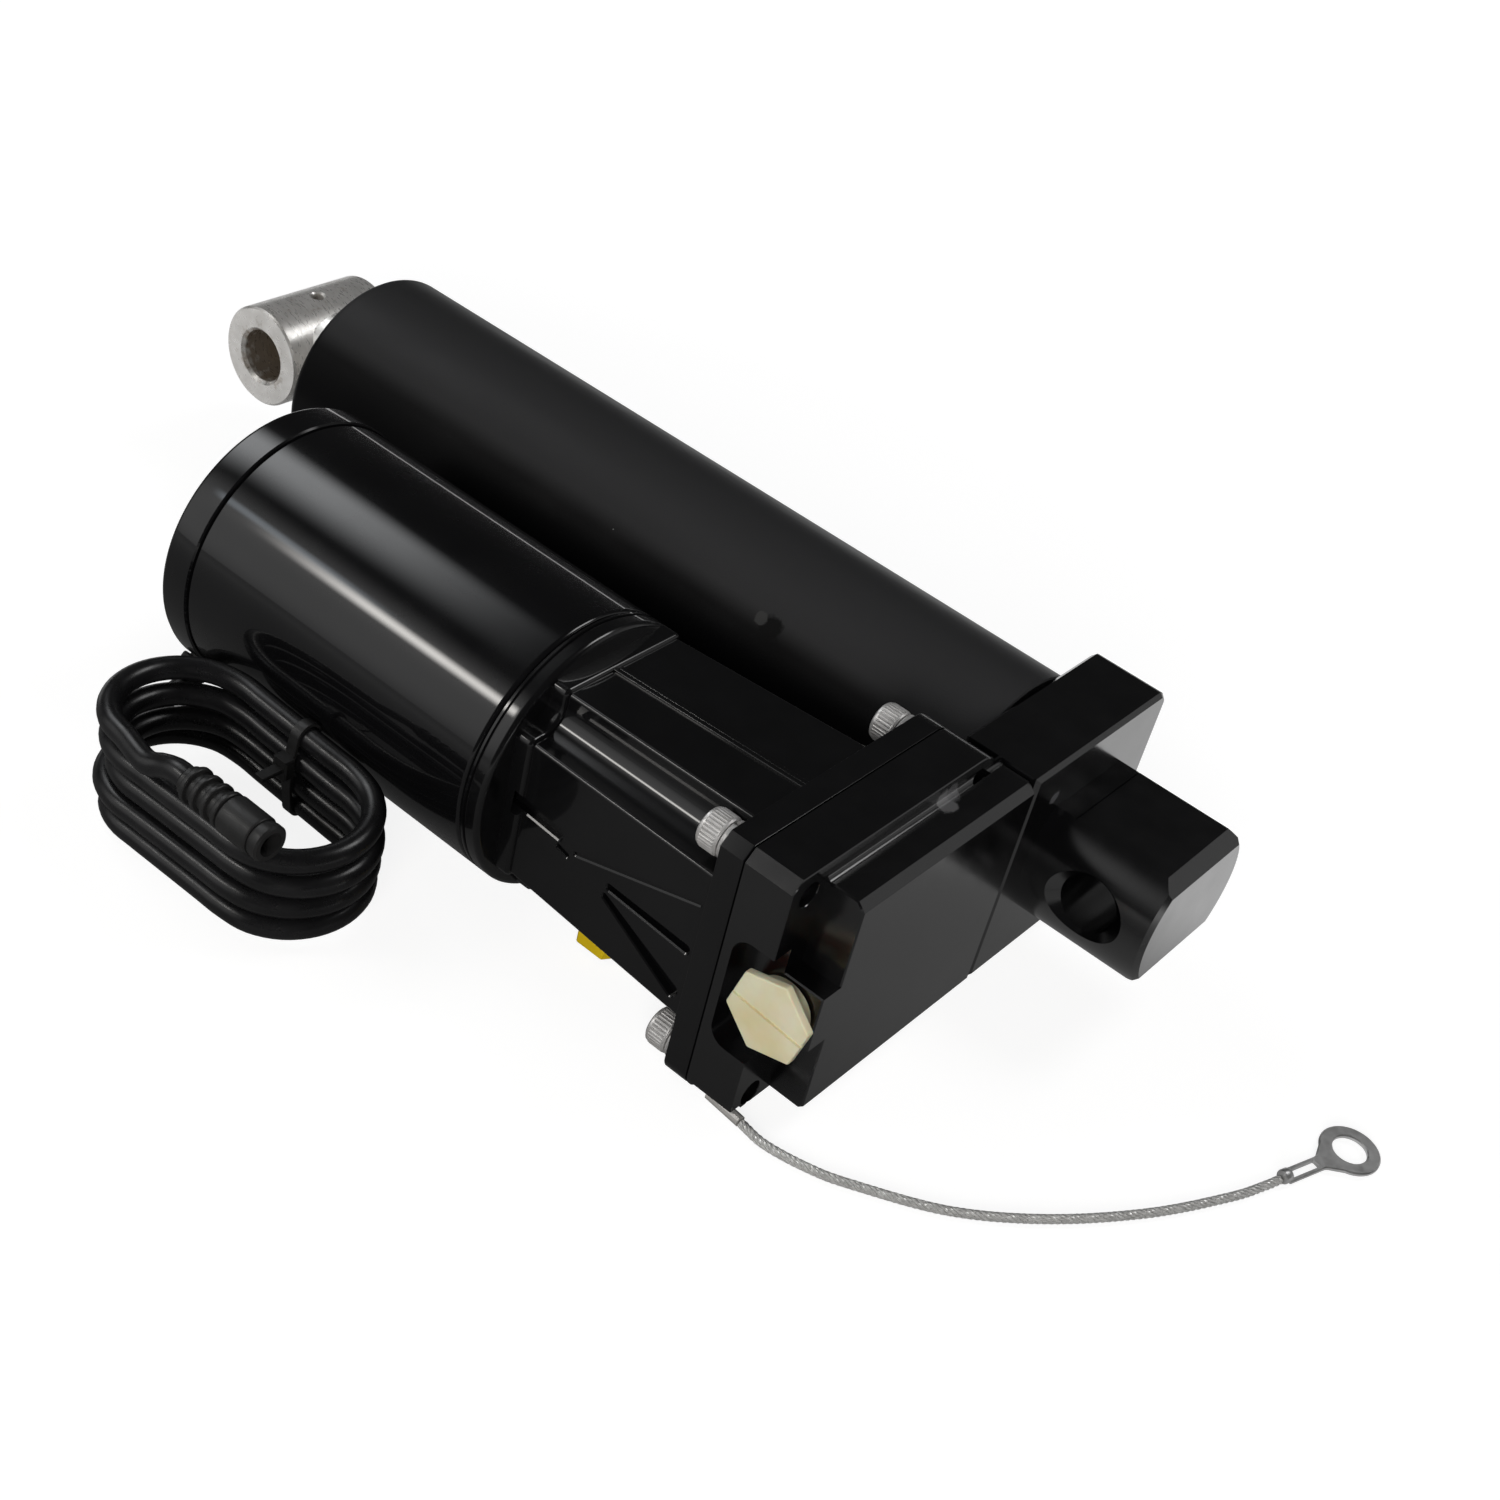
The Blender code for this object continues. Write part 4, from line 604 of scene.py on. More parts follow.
def makeEarthRope(size):
    height = floorLevel + size["radius"] + size["lift"]
    corners = [Vector((x, y, height)) for x, y in size["route"]]
    path = inMetres(smoothRoute(corners, size["spacing"]))
    mesh = sweptCord(path, {
        "Strands": size["strands"], "Strand Radius": size["strandRadius"] * mm,
        "Lay Radius": (size["radius"] - size["strandRadius"]) * mm,
        "Turns": lengthOf(path) * 1000 / size["layLength"], "Sides": 8, "Finish": finishes["ropeSteel"],
    })
    rope = addPiece("earthRope", mesh, "ropeSteel", ["ground_lead"], weighted=False)
    end, middle = corners[-1], Vector((*size["eye"], height))
    way = (middle - end).normalized()
    side = Vector((-way.y, way.x, 0))
    hole, reach, half = size["eyeHole"], size["eyeRadius"], size["eyeThick"] / 2
    eye = lathe(
        [(-half, hole + 0.2), (-half, reach - 0.25), (-half + 0.25, reach), (half - 0.25, reach),
         (half, reach - 0.25), (half, hole + 0.2), (half - 0.2, hole), (-half + 0.2, hole)],
        along="Z", centre=middle, segments=64,
    )

    def onFloor(points):
        spots = [end + way * along + side * across for along, across in points]
        return [(spot.x, spot.y) for spot in spots]

    crimp, wide, inner = size["crimp"], size["neckHalf"], size["neckHalf"] - size["rail"]
    windowEnd = crimp + size["window"]
    shoulder = (middle - end).length - 0.72 * reach
    outline = onFloor([
        (crimp - 1, -wide), (windowEnd + 1.2, -wide), (shoulder, -0.66 * reach), (shoulder, 0.66 * reach),
        (windowEnd + 1.2, wide), (crimp - 1, wide),
    ])
    outline = rounded(outline, [0.3, 2.0, 0, 0, 2.0, 0.3], steps=6)
    neck = prism(outline, height - half, height + half, along="Z", edge=0.2)
    window = rounded(onFloor(box(crimp + 0.3, windowEnd, -inner, inner)), 0.35, steps=4)
    opening = prism(window, height - 2, height + 2, along="Z", edge=0)
    shell = size["radius"] + 0.55
    barrel = lathe(
        [(0.3, 0), (0.3, shell - 0.45), (0.5, shell - 0.1), (0.8, shell), (crimp - 0.5, shell),
         (crimp - 0.2, shell - 0.15), (crimp, shell - 0.5), (crimp, 0)],
        along=way, centre=end + Vector((0, 0, 0.55)), segments=32,
    )
    bored = drum(-half - 1, half + 1, hole, along="Z", centre=middle, segments=64)
    terminal = addPiece(
        "ringTerminal", carve(eye, plus(neck) + minus(opening) + plus(barrel) + minus(bored)),
        "pressedTerminal", ["ring_terminal"],
    )
    print("stage: earth rope", round(lengthOf(path), 4), "m")


supplyCable = {
    "radius": 2.5, "exitX": 147.9, "motorY": 65.7, "capRadius": 31.55, "floor": floorLevel, "lift": 0.1,
    "wayOut": Vector((0, math.sqrt(0.5), -math.sqrt(0.5))), "grommet": 5.2,
    "hankX": 103.0, "hankY": 115.6, "endRadius": 15.0, "run": 32.0, "hankStart": -0.1, "hankEnd": 4.0,
    "climb": 5.7, "sway": 1.1, "turnPoints": 24, "spacing": 1.6,
    "connectorRadius": 4.2, "connectorLength": 24.0, "connectorBack": 14, "ribs": 4, "gap": 0.3,
    "tieTurn": 0.601, "tieWidth": 2.6, "tieThick": 0.7,
}


def hankPoint(size, turn):
    sway = size["sway"] * math.sin(2.2 * turn)
    radius = size["endRadius"] + 0.5 * sway
    straight = size["run"]
    bend = math.pi * radius
    run = (turn % 1) * (2 * straight + 2 * bend)
    half = straight / 2
    if run < straight:
        x, y = half - run, radius
    elif run < straight + bend:
        angle = (run - straight) / radius
        x, y = -half - radius * math.sin(angle), radius * math.cos(angle)
    elif run < 2 * straight + bend:
        x, y = run - straight - bend - half, -radius
    else:
        angle = (run - 2 * straight - bend) / radius
        x, y = half + radius * math.sin(angle), -radius * math.cos(angle)
    height = size["floor"] + size["radius"] + size["lift"] + size["climb"] * (turn - size["hankStart"])
    return Vector((size["hankX"] + x + sway, size["hankY"] + y, height))


def cableRoute(size):
    thick, gap, wayOut, x = size["radius"], size["gap"], size["wayOut"], size["exitX"]
    start = Vector((x, size["motorY"], 0)) + wayOut * (size["capRadius"] + size["grommet"] + gap)
    low = size["floor"] + thick + size["lift"]
    turns = size["hankEnd"] - size["hankStart"]
    count = round(size["turnPoints"] * turns)
    loops = [hankPoint(size, size["hankStart"] + turns * i / count) for i in range(count + 1)]
    first = ((loops[0] - loops[1]) * Vector((1, 1, 0))).normalized()
    last = (loops[-1] - loops[-2]).normalized()
    into = loops[0] + first * 2 * thick + first * gap
    out = loops[-1] + last * 2 * thick + last * gap
    lead = [
        start + wayOut * 2, Vector((x, start.y + 4.2, low + 0.5)), Vector((x - 1.6, start.y + 11, low)),
        into + first * 2 * thick,
    ]
    under = size["climb"] * (size["hankEnd"] - 0.65 - size["hankStart"]) + 2 * thick
    height = size["floor"] + size["lift"] + under + size["connectorRadius"] + gap
    plug = Vector((out.x - size["connectorBack"], out.y, height))
    tail = [out + last * 3, out.lerp(plug, 0.5), plug + Vector((3, 0, 0))]
    spacing = 2.4 * thick
    route = [start] + smoothRoute(lead, spacing) + loops + smoothRoute(tail, spacing) + [plug]
    return inMetres(smoothRoute(route, size["spacing"])), plug


def connectorShape(size, plug):
    thick, gap, long, outer = size["radius"], size["gap"], size["connectorLength"], size["connectorRadius"]
    where = {"along": Vector((-1, 0, 0)), "centre": plug, "segments": 40}
    profile = [(gap, 0), (gap, thick + 0.3), (0.8, thick + 0.7)]
    rib = 0.5 * long / size["ribs"]
    for number in range(size["ribs"]):
        base = gap + rib * number
        profile += [
            (base + 0.5 * rib, thick + 0.7), (base + 0.58 * rib, outer - 0.35),
            (base + 0.66 * rib, outer - 0.2), (base + 0.9 * rib, outer - 0.2),
            (base + 0.97 * rib, outer - 0.35), (base + rib, thick + 0.7),
        ]
    rim = 0.88 * long
    profile += [(0.53 * long, outer - 0.3), (0.55 * long, outer), (0.86 * long, outer)]
    body = lathe(profile + [(rim, outer - 0.25), (rim, 0)], **where)
    ring = lathe(
        [(rim, 0), (rim, outer - 0.5), (0.93 * long, outer - 0.2), (long - 0.4, outer - 0.2),
         (long, outer - 0.6), (long, 2.6), (long - 3, 2.4), (long - 3, 0)],
        **where,
    )
    for face in ring.faces:
        face.material_index = 1
    return asShape(asMesh(body, "body"), asMesh(ring, "ring"))


def tieShape(size):
    thick = size["radius"]
    spots = [hankPoint(size, size["tieTurn"] + number) for number in range(4)]
    angles = [a * math.pi / 12 for a in range(24)]
    loops = []
    for reach in (thick + 0.12, thick + 0.12 + size["tieThick"]):
        dots = []
        for spot in spots:
            dots += [Vector((spot.y + reach * math.cos(a), spot.z + reach * math.sin(a))) for a in angles]
        loops.append([dots[i] for i in geometry.convex_hull_2d(dots)])
    tieX, wide = spots[1].x, size["tieWidth"] / 2
    band = prism(loops[1], tieX - wide, tieX + wide, edge=0.12)
    side, tall = max(p.x for p in loops[1]), spots[2].z
    lockOutline = box(side - 0.4, side + 2.3, tall - 2.4, tall + 2.4)
    lock = prism(lockOutline, tieX - wide - 0.8, tieX + wide + 0.8, edge=0.35)
    strap = prism(box(side + 2, side + 7.5, tall - 0.5, tall + 0.5), tieX - wide, tieX + wide, edge=0.15)
    inside = prism(loops[0], tieX - 5, tieX + 5, edge=0)
    return carve(band, plus(lock) + minus(inside) + plus(strap))


def makeSupplyCable(size):
    thick = size["radius"]
    path, plug = cableRoute(size)
    mesh = sweptCord(path, {
        "Strands": 1, "Strand Radius": thick * mm, "Lay Radius": 0.0,
        "Turns": 0.0, "Sides": 20, "Finish": finishes["blackCableSheath"],
    })
    cable = addPiece(
        "supplyCable", mesh, "blackCableSheath", ["cable_lead", "cable_hank", "cable_tail"],
        weighted=False,
    )
    connector = addPiece(
        "cableConnector", connectorShape(size, plug), ["blackPlastic", "greenPlastic"],
        ["cable_connector"],
    )
    tie = addPiece("cableTie", tieShape(size), "blackPlastic", ["cable_hank"])
    inner, end = size["capRadius"] - 4.55, size["capRadius"] + size["grommet"]
    steps = [
        (-4.9, 2.7), (-4.9, 3.9), (-4.6, 4.1), (-3.5, 4.1), (-3.3, 3.7), (-2.5, 3.7), (-2.3, 3.4),
        (-1.4, 3.4), (-1.2, 3.15), (-0.2, 3.1), (0, 2.8), (0, 0),
    ]
    grommet = lathe(
        [(inner, 0), (inner, 2.7)] + [(end + place, radius) for place, radius in steps],
        along=size["wayOut"], centre=(size["exitX"], size["motorY"], 0), segments=40,
    )
    addPiece("cableGrommet", grommet, "blackRubber", ["cable_grommet"])
    print("stage: supply cable", round(lengthOf(path), 4), "m")


makeEarthRope(earthRope)
makeSupplyCable(supplyCable)


tubeAndRod = {
    "tubeRadius": 26.9, "tubeBore": 22.4, "tubeBack": -2.1, "tubeFront": 192.2, "tubeEdge": 2.0,
    "rodRadius": 15.0, "rodBore": 12.0, "rodBack": 17.0, "rodFront": 196.2,
    "endX": 213.6, "endRadius": 12.5, "endHalf": 17.0, "boreRadius": 6.5, "boreChamfer": 0.8,
    "greaseHole": 1.7,
}


def crossBore(x, half, radius, chamfer):
    wide = radius + chamfer + 1
    return lathe(
        [(-half - 1, 0), (-half - 1, wide), (-half + chamfer, radius), (half - chamfer, radius),
         (half + 1, wide), (half + 1, 0)],
        along="Y", centre=(x, 0, 0), segments=64,
    )


def makeTubeAndRod(size):
    back, front, radius, edge = size["tubeBack"], size["tubeFront"], size["tubeRadius"], size["tubeEdge"]
    bore = size["tubeBore"]
    profile = [(back, bore), (back, radius - 0.3), (back + 0.3, radius)]
    profile += arc(front - edge, radius - edge, edge, 90, 0) + [(front, bore + 0.5), (front - 0.5, bore)]
    addPiece("outerTube", lathe(profile, segments=160), "matteTubeCoat", ["outer_tube"])
    behind, ahead, lip = front - 4.6, front - 1, size["rodRadius"] + 0.3
    wiper = lathe(
        [(behind, lip + 1), (behind, bore - 0.3), (ahead, bore - 0.3), (ahead, lip + 3.4),
         (ahead - 0.9, lip + 2.6), (ahead - 0.8, lip + 1.6), (ahead, lip + 0.5), (ahead - 0.2, lip),
         (ahead - 1, lip)],
    )
    addPiece("rodWiper", wiper, "blackRubber", ["rod_wiper"])
    back, front, rod, bore = size["rodBack"], size["rodFront"], size["rodRadius"], size["rodBore"]
    tube = lathe(
        [(back, bore), (back, rod - 0.4), (back + 0.4, rod), (front - 0.5, rod), (front, rod - 0.5),
         (front, bore)],
        segments=112,
    )
    addPiece("rodTube", tube, "satinStainless", ["rod_tube"], "rod")
    half, end, x = size["endHalf"], size["endRadius"], size["endX"]
    barrel = lathe(
        [(-half, 0), (-half, end - 0.5), (-half + 0.5, end), (half - 0.5, end), (half, end - 0.5), (half, 0)],
        along="Y", centre=(x, 0, 0), segments=112,
    )
    stemEnd = x - size["boreRadius"] - 2
    stem = lathe(
        [(front - 15, 0), (front - 15, bore - 0.3), (front + 0.3, bore - 0.3), (front + 0.3, end - 0.2),
         (stemEnd, end - 0.2), (stemEnd, 0)],
        segments=72,
    )
    hole = size["greaseHole"]
    grease = lathe(
        [(0, 0), (0, hole), (end - 0.5, hole), (end + 0.3, hole + 0.8), (end + 2, hole + 0.8), (end + 2, 0)],
        along="Z", centre=(x, 0, 0), segments=32,
    )
    pinBore = crossBore(x, half, size["boreRadius"], size["boreChamfer"])
    rodEnd = carve(barrel, plus(stem) + minus(pinBore, grease))
    addPiece("rodEnd", rodEnd, "satinStainless", ["rod_end"], "rod")
    print("stage: tube and rod")


gearRoom = {  # where the gears run, shared by the clevis block, the gear housing and the case
    "blind": -18.5, "pocketBack": -15.5, "idlerY": 38.116, "idlerRadius": 21.765, "idlerHole": 4.3,
    "pinionY": 65.7, "pinionRadius": 12.526, "pinionHole": 5.0, "screwRadius": 19.759, "screwHole": 6.5,
}


def gearPocket(gear, *ends):
    blind, back, hole = gearRoom["blind"], gearRoom["pocketBack"], gearRoom[gear + "Hole"]
    radius, y = gearRoom[gear + "Radius"], gearRoom.get(gear + "Y", 0)
    start = [(blind, 0), (blind, hole), (back, hole), (back, radius), (ends[0], radius)]
    return lathe(start + [*ends[1:]], centre=(0, y, 0), segments=72)


clevis = {
    "front": -20.5, "back": -2.4, "halfWidth": 25.4, "top": 26.4, "bottom": -27.0, "corner": 3.0, "edge": 0.9,
    "tongueRadius": 18.5, "tongueHalf": 13.75, "tongueLength": 30.0, "tongueChamfer": 3.0, "boreRadius": 6.5,
    "boreChamfer": 2.2, "spigotRadius": 22.1, "spigotBore": 20.3,
}


def makeClevis(size):
    front, back, wide, corner = size["front"], size["back"], size["halfWidth"], size["corner"]
    outline = rounded(box(-wide, wide, size["bottom"], size["top"]), [corner, 0, 0, corner], steps=8)
    block = prism(outline, front, back, edge=size["edge"])
    end = front - size["tongueLength"]
    radius, half, slope = size["tongueRadius"], size["tongueHalf"], size["tongueChamfer"]
    tongue = lathe(
        [(end, 0), (end, radius - 1), (end + 1, radius), (front + 1, radius), (front + 1, 0)], segments=128,
    )
    reach, far = radius + 1, end - 1
    cuts = []
    for side in (1, -1):
        flat = [
            (side * half, front), (side * half, end + slope), (side * (half - slope - 1), far),
            (side * reach, far), (side * reach, front),
        ]
        line = [  # a scribed line across the flat
            (side * (half - 0.3), front - 4.9), (side * (half + 0.4), front - 5.3),
            (side * (half + 0.4), front - 4.5),
        ]
        cuts += [prism(shape, -reach, reach, along="Y", edge=0) for shape in (flat, line)]
    tongue = carve(tongue, minus(*cuts))
    bore, outer = size["spigotBore"], size["spigotRadius"]
    spigot = lathe([(back - 1, bore), (back - 1, outer), (back + 13, outer), (back + 13, bore)], segments=72)
    screwPocket = gearPocket("screw", back - 1, (back + 1, bore - 0.02), (back + 1, 0))
    idlerPocket = gearPocket("idler", back + 1, (back + 1, 0))
    boreX = front - size["tongueLength"] / 2
    pinBore = crossBore(boreX, radius - 0.3, size["boreRadius"], size["boreChamfer"])
    whole = carve(block, plus(tongue, spigot) + minus(screwPocket, idlerPocket, pinBore))
    addPiece("clevisBlock", whole, "blackAnodised", ["clevis_block"])
    print("stage: clevis block")


housing = {
    "near": 25.7, "far": 92.6, "bottom": floorLevel, "top": 29.5, "thick": 11.3, "front": -20.5,
    "corners": [8.0, 4.0, -2.45, 8.0], "edge": 0.2,
    "coverFar": 82.3, "coverTop": 25.5, "coverBottom": -27.4, "coverChamfer": 1.8, "cove": 1.4,
    "plugX": -13.3, "plugZ": -1.3, "plugSeat": 87.5, "bossHalf": 6.7, "plugHole": 5.2, "plugEnd": 76.2,
    "seatLow": 14, "seatHigh": 12.6, "seatDeep": 11, "seatCorner": 4,
    "screws": [(86.9, 24.3), (33.5, 24.3), (86.9, -26.9), (33.5, -26.9)],
    "tubeRoom": 27.2, "earthX": -5.0, "earthY": 80.5, "earthHole": 1.8,
    "earthRooms": [(75.1, 1.9), (89.0, 2.8)],  # start and height, for the earth lug and its sleeve
}


def slabOutline(size):
    return rounded(box(size["near"], size["far"], size["bottom"], size["top"]), size["corners"], steps=8)


def makeHousing(size):
    thick, front, near, far = -size["thick"], size["front"], size["near"], size["far"]
    slab = prism(slabOutline(size), thick, 0, edge=size["edge"])
    top, coverFar, hollow = size["coverTop"], size["coverFar"], size["cove"]
    coverOutline = box(size["coverBottom"], top, front, thick + 1)
    coverOutline = rounded(coverOutline, [-1.0, -size["coverChamfer"], 0, 0])
    cover = prism(coverOutline, near, coverFar, along="Y", edge=0.3)
    cove = [(top - 0.5, thick + 0.5), (top + hollow, thick + 0.5)]
    for i in range(6):
        angle = math.radians(90 * i / 5)
        cove.append((top + hollow * (1 - math.sin(angle)), thick - hollow * (1 - math.cos(angle))))
    cove.append((top - 0.5, thick - hollow))
    coveBar = prism(cove, near + 0.1, coverFar - 0.1, along="Y", edge=0)
    plugZ, seatY, half = size["plugZ"], size["plugSeat"], size["bossHalf"]
    boss = prism(box(plugZ - half, plugZ + half, front, thick + 1), coverFar - 1, seatY, along="Y", edge=0.3)
    plugX, corner = size["plugX"], size["seatCorner"]
    seatOutline = box(plugZ - size["seatLow"], plugZ + size["seatHigh"], thick - 1, plugX + size["seatDeep"])
    seat = prism(rounded(seatOutline, [0, 0, corner, corner], steps=8), seatY, far + 1, along="Y", edge=0)
    plugHole = drum(
        size["plugEnd"], seatY + 0.5, size["plugHole"], along="Y", centre=(plugX, 0, plugZ), segments=48,
    )
    cuts = [
        seat, drum(-2.7, 1, size["tubeRoom"], segments=128), gearPocket("pinion", 1, (1, 0)),
        gearPocket("idler", 1, (1, 0)), plugHole,
    ]
    screwHole = [(thick - 1, 0), (thick - 1, 3.4), (thick + 0.3, 2.65), (1, 2.65), (1, 0)]
    cuts += [lathe(screwHole, centre=(0, *spot), segments=32) for spot in size["screws"]]
    low, earthSpot = size["bottom"], (size["earthX"], size["earthY"], 0)
    for start, rise in size["earthRooms"]:
        cuts.append(prism(box(thick - 1, -0.8, start, far + 1), low - 1, low + rise, along="Z", edge=0))
    cuts.append(drum(low + 1, low + 9, size["earthHole"], along="Z", centre=earthSpot, segments=24))
    whole = carve(slab, plus(cover, coveBar, boss) + minus(*cuts))
    addPiece("gearHousing", whole, "blackAnodised", ["gear_housing"])
    print("stage: gear housing")


caseCasting = {
    "flangeBack": 0.15, "flangeFront": 5.75, "axisY": 65.7, "collarBack": 57.5, "end": 62.2,
    "collarRadius": 31.0, "panelNear": -19.0, "panelFar": 16.3, "panelHeight": 27.6,
    "cheekReach": 25.2, "cheekHeight": 18.2,
    "taper": 0.9, "fillet": 0.8, "hollows": (4.4, 6.4), "lipStart": 53.6, "lipGrow": 1.0,
    "ridges": [(1.75, 0.6, 0.55), (0.3, 0.6, 0.28)],  # middle, half width and height
    "drainX": 37.0, "drainY": 74.0, "drainHole": 2.8, "screwHole": 2.8,
    "room": [  # bore for the gears and the motor's nose
        (-1, 0), (-1, 10), (6.75, 10), (6.75, 13.3), (15.15, 13.3), (15.15, 12), (17.65, 12), (17.65, 19.5),
        (56.5, 19.5), (58.5, 25.8), (63.2, 25.8), (63.2, 0),
    ],
    "sideCuts": [  # x and z of both ends, both widths, depth
        ((29.5, -1.8), (7.5, -1.8), (1.5, 2.0), 2.2), ((30.0, -4.3), (8.3, -13.7), (1.3, 3.2), 1.8),
        ((38.8, -0.4), (7.5, 10.2), (0.7, 0.7), 0.5), ((58.0, 1.6), (42.5, 1.1), (3.0, 2.6), 1.6),
        ((43.5, -1.5), (40.0, -2.2), (1.0, 1.0), 0.9),
    ],
    "cutFlare": 0.3,
}


def caseOutline(size, grow=0.0):
    near, far = size["panelNear"] - grow, size["panelFar"] + grow
    tall, reach, cheek = size["panelHeight"] + grow, size["cheekReach"] + grow, size["cheekHeight"] + grow
    points = [
        (near, cheek), (-reach, cheek), (-reach, -cheek), (near, -cheek), (near, -tall), (far, -tall),
        (far, -cheek), (reach, -cheek), (reach, cheek), (far, cheek), (far, tall), (near, tall),
    ]
    small = size["fillet"] + grow
    first, second = [radius - grow for radius in size["hollows"]]
    sizes = [first, small, small, first, small, small, second, small, small, second, small, small]
    return rounded(points, sizes, steps=12)


def caseEnds(size):
    return size["flangeFront"] - 1, size["collarBack"] + 1


def caseScale(size, x):  # the body narrows toward the collar
    back, front = caseEnds(size)
    return 1 - (1 - size["taper"]) * (x - back) / (front - back)


def sideCut(size, start, end, widths, depth):
    a, b, flare = Vector(start), Vector(end), size["cutFlare"]
    way = (b - a).normalized()
    side = Vector((-way.y, way.x)) / 2
    corners = [a - side * widths[0], b - side * widths[1], b + side * widths[1], a + side * widths[0]]
    sizes = [min(widths[i] * 0.45, 1.0) for i in (0, 1, 1, 0)]
    outline = rounded([(p.y, p.x) for p in corners], sizes, steps=4)
    low, high = Vector((a.y, a.x)), Vector((b.y, b.x))
    faces = [size["axisY"] + size["cheekReach"] * caseScale(size, x) for x in (a.x, b.x)]
    shape = bmesh.new()
    rings = []
    for rise, grow in ((-depth, 0.0), (-flare, 0.0), (1.0, flare + 1.0)):  # the rim is bevelled
        ring = []
        for p in inset(outline, -grow) if grow else outline:
            share = (p - low).dot(high - low) / (high - low).length_squared
            ring.append(shape.verts.new((p.y, faces[0] + (faces[1] - faces[0]) * share + rise, p.x)))
        rings.append(ring)
    return skinned(shape, rings)


def makeCase(size):
    front, y, lipStart, end = size["flangeFront"], size["axisY"], size["lipStart"], size["end"]
    bodyBack, bodyFront = caseEnds(size)
    flange = prism(slabOutline(housing), size["flangeBack"], front, edge=0.25, steps=2)
    onAxis = {"centre": (0, y, 0)}
    body = prism(caseOutline(size), bodyBack, bodyFront, edge=0, scaleEnd=size["taper"], **onAxis)
    lipScale = caseScale(size, lipStart)
    lipOutline = [point * lipScale for point in caseOutline(size, size["lipGrow"])]
    lip = prism(lipOutline, lipStart, bodyFront, edge=0.9, steps=4, **onAxis)
    back, radius = size["collarBack"], size["collarRadius"]
    collar = lathe(
        [(back, 0), (back, radius - 1.2)] + arc(back + 1.2, radius - 1.2, 1.2, 180, 90, 5)[1:]
        + [(end - 1.5, radius), (end - 1.3, radius - 0.5), (end - 0.9, radius - 0.5), (end - 0.7, radius),
           (end - 0.2, radius), (end, radius - 0.2), (end, 0)],
        segments=160, **onAxis,
    )
    added = [body, lip, collar]
    tall = size["panelHeight"]
    for place, wide, rise in size["ridges"]:  # along the top panel
        outline = rounded(box(-wide, wide, -1.5, rise), [0, 0, 0.25, 0.25], steps=4)
        bar = prism(outline, front - 0.5, lipStart + 0.5, centre=(0, y + place, 0), edge=0)
        for vertex in bar.verts:
            vertex.co.z += tall * caseScale(size, vertex.co.x)
        added.append(bar)
    room = lathe(size["room"], segments=72, **onAxis)
    tubeWay = drum(-1, front + 1, housing["tubeRoom"], segments=160)
    pinEnd = drum(-1, 3.8, gearRoom["idlerHole"], centre=(0, gearRoom["idlerY"], 0), segments=32)
    drainSpot = (size["drainX"], size["drainY"], 0)
    drainTop = -tall * size["taper"] + 4
    drain = drum(-tall - 1, drainTop, size["drainHole"], along="Z", centre=drainSpot, segments=32)
    cuts = [tubeWay, room, pinEnd, drain]
    for spot in housing["screws"]:
        cuts.append(drum(-1, front + 1, size["screwHole"], centre=(0, *spot), segments=32))
    cuts += [sideCut(size, *cut) for cut in size["sideCuts"]]
    whole = carve(flange, plus(*added) + minus(*cuts))
    addPiece("gearboxCase", whole, "castCasePaint", ["gearbox_case"])
    print("stage: gearbox case")


motor = {
    "axisY": 65.7, "radius": 31.0, "bore": 29.0, "back": 62.5, "front": 143.6, "capRadius": 31.55,
    "capBack": 143.9, "capFront": 152.0, "capChamfer": 1.4, "boltRing": 23.0, "boltTurns": (20, 200),
    "boltWell": [(-2.2, 0), (-2.2, 3.6), (-0.2, 3.6), (1, 4.6), (1, 0)],  # from the cap's face
    "boltHead": [(-2.4, 0), (-2.4, 3.0), (-0.7, 3.0), (-0.4, 2.7), (-0.4, 1.3), (-1.2, 1.2), (-1.2, 0)],
}


def makeMotor(size):
    y, radius, back, front, inner = size["axisY"], size["radius"], size["back"], size["front"], size["bore"]
    can = lathe(
        [(back, inner), (back, radius - 1)] + arc(back + 1, radius - 1, 1, 180, 90, 4)[1:]
        + [(front - 0.3, radius), (front, radius - 0.3), (front, inner)],
        centre=(0, y, 0), segments=192,
    )
    addPiece("motorCan", can, "glossMotorPaint", ["motor_can"])
    back, front, outer, bevel = size["capBack"], size["capFront"], size["capRadius"], size["capChamfer"]
    rim = outer - bevel
    cap = lathe(
        [(front - 0.8, 0), (front - 0.8, 9.5), (front, 10.2), (front, rim - 4), (front - 0.5, rim - 3.4),
         (front - 0.5, rim - 1.2), (front, rim - 0.6), (front, rim),
         (front - 0.4 * bevel, outer - 0.25 * bevel), (front - bevel, outer), (back + 0.35, outer),
         (back, outer - 0.35), (back, inner - 0.3),
         (back - 4.5, inner - 0.3), (back - 4.5, inner - 2.5), (front - 2.5, inner - 2.5), (front - 2.5, 9),
         (back - 1, 9), (back - 1, 4.3), (front - 2.5, 4.3), (front - 2.5, 0)],
        centre=(0, y, 0), segments=192,
    )
    outlet = {"along": supplyCable["wayOut"], "centre": (supplyCable["exitX"], y, 0)}
    steps = minus(drum(inner - 5, outer + 2, 3, segments=32, **outlet))
    ring = size["boltRing"]
    for angle in size["boltTurns"]:  # heads of the long motor bolts, in their wells
        spot = (0, y + ring * math.cos(math.radians(angle)), ring * math.sin(math.radians(angle)))
        for how, profile in ((minus, size["boltWell"]), (plus, size["boltHead"])):
            fromFace = [(front + place, reach) for place, reach in profile]
            steps += how(lathe(fromFace, centre=spot, segments=32))
    addPiece("motorCap", carve(cap, steps), "glossMotorPaint", ["motor_cap"])
    print("stage: motor")


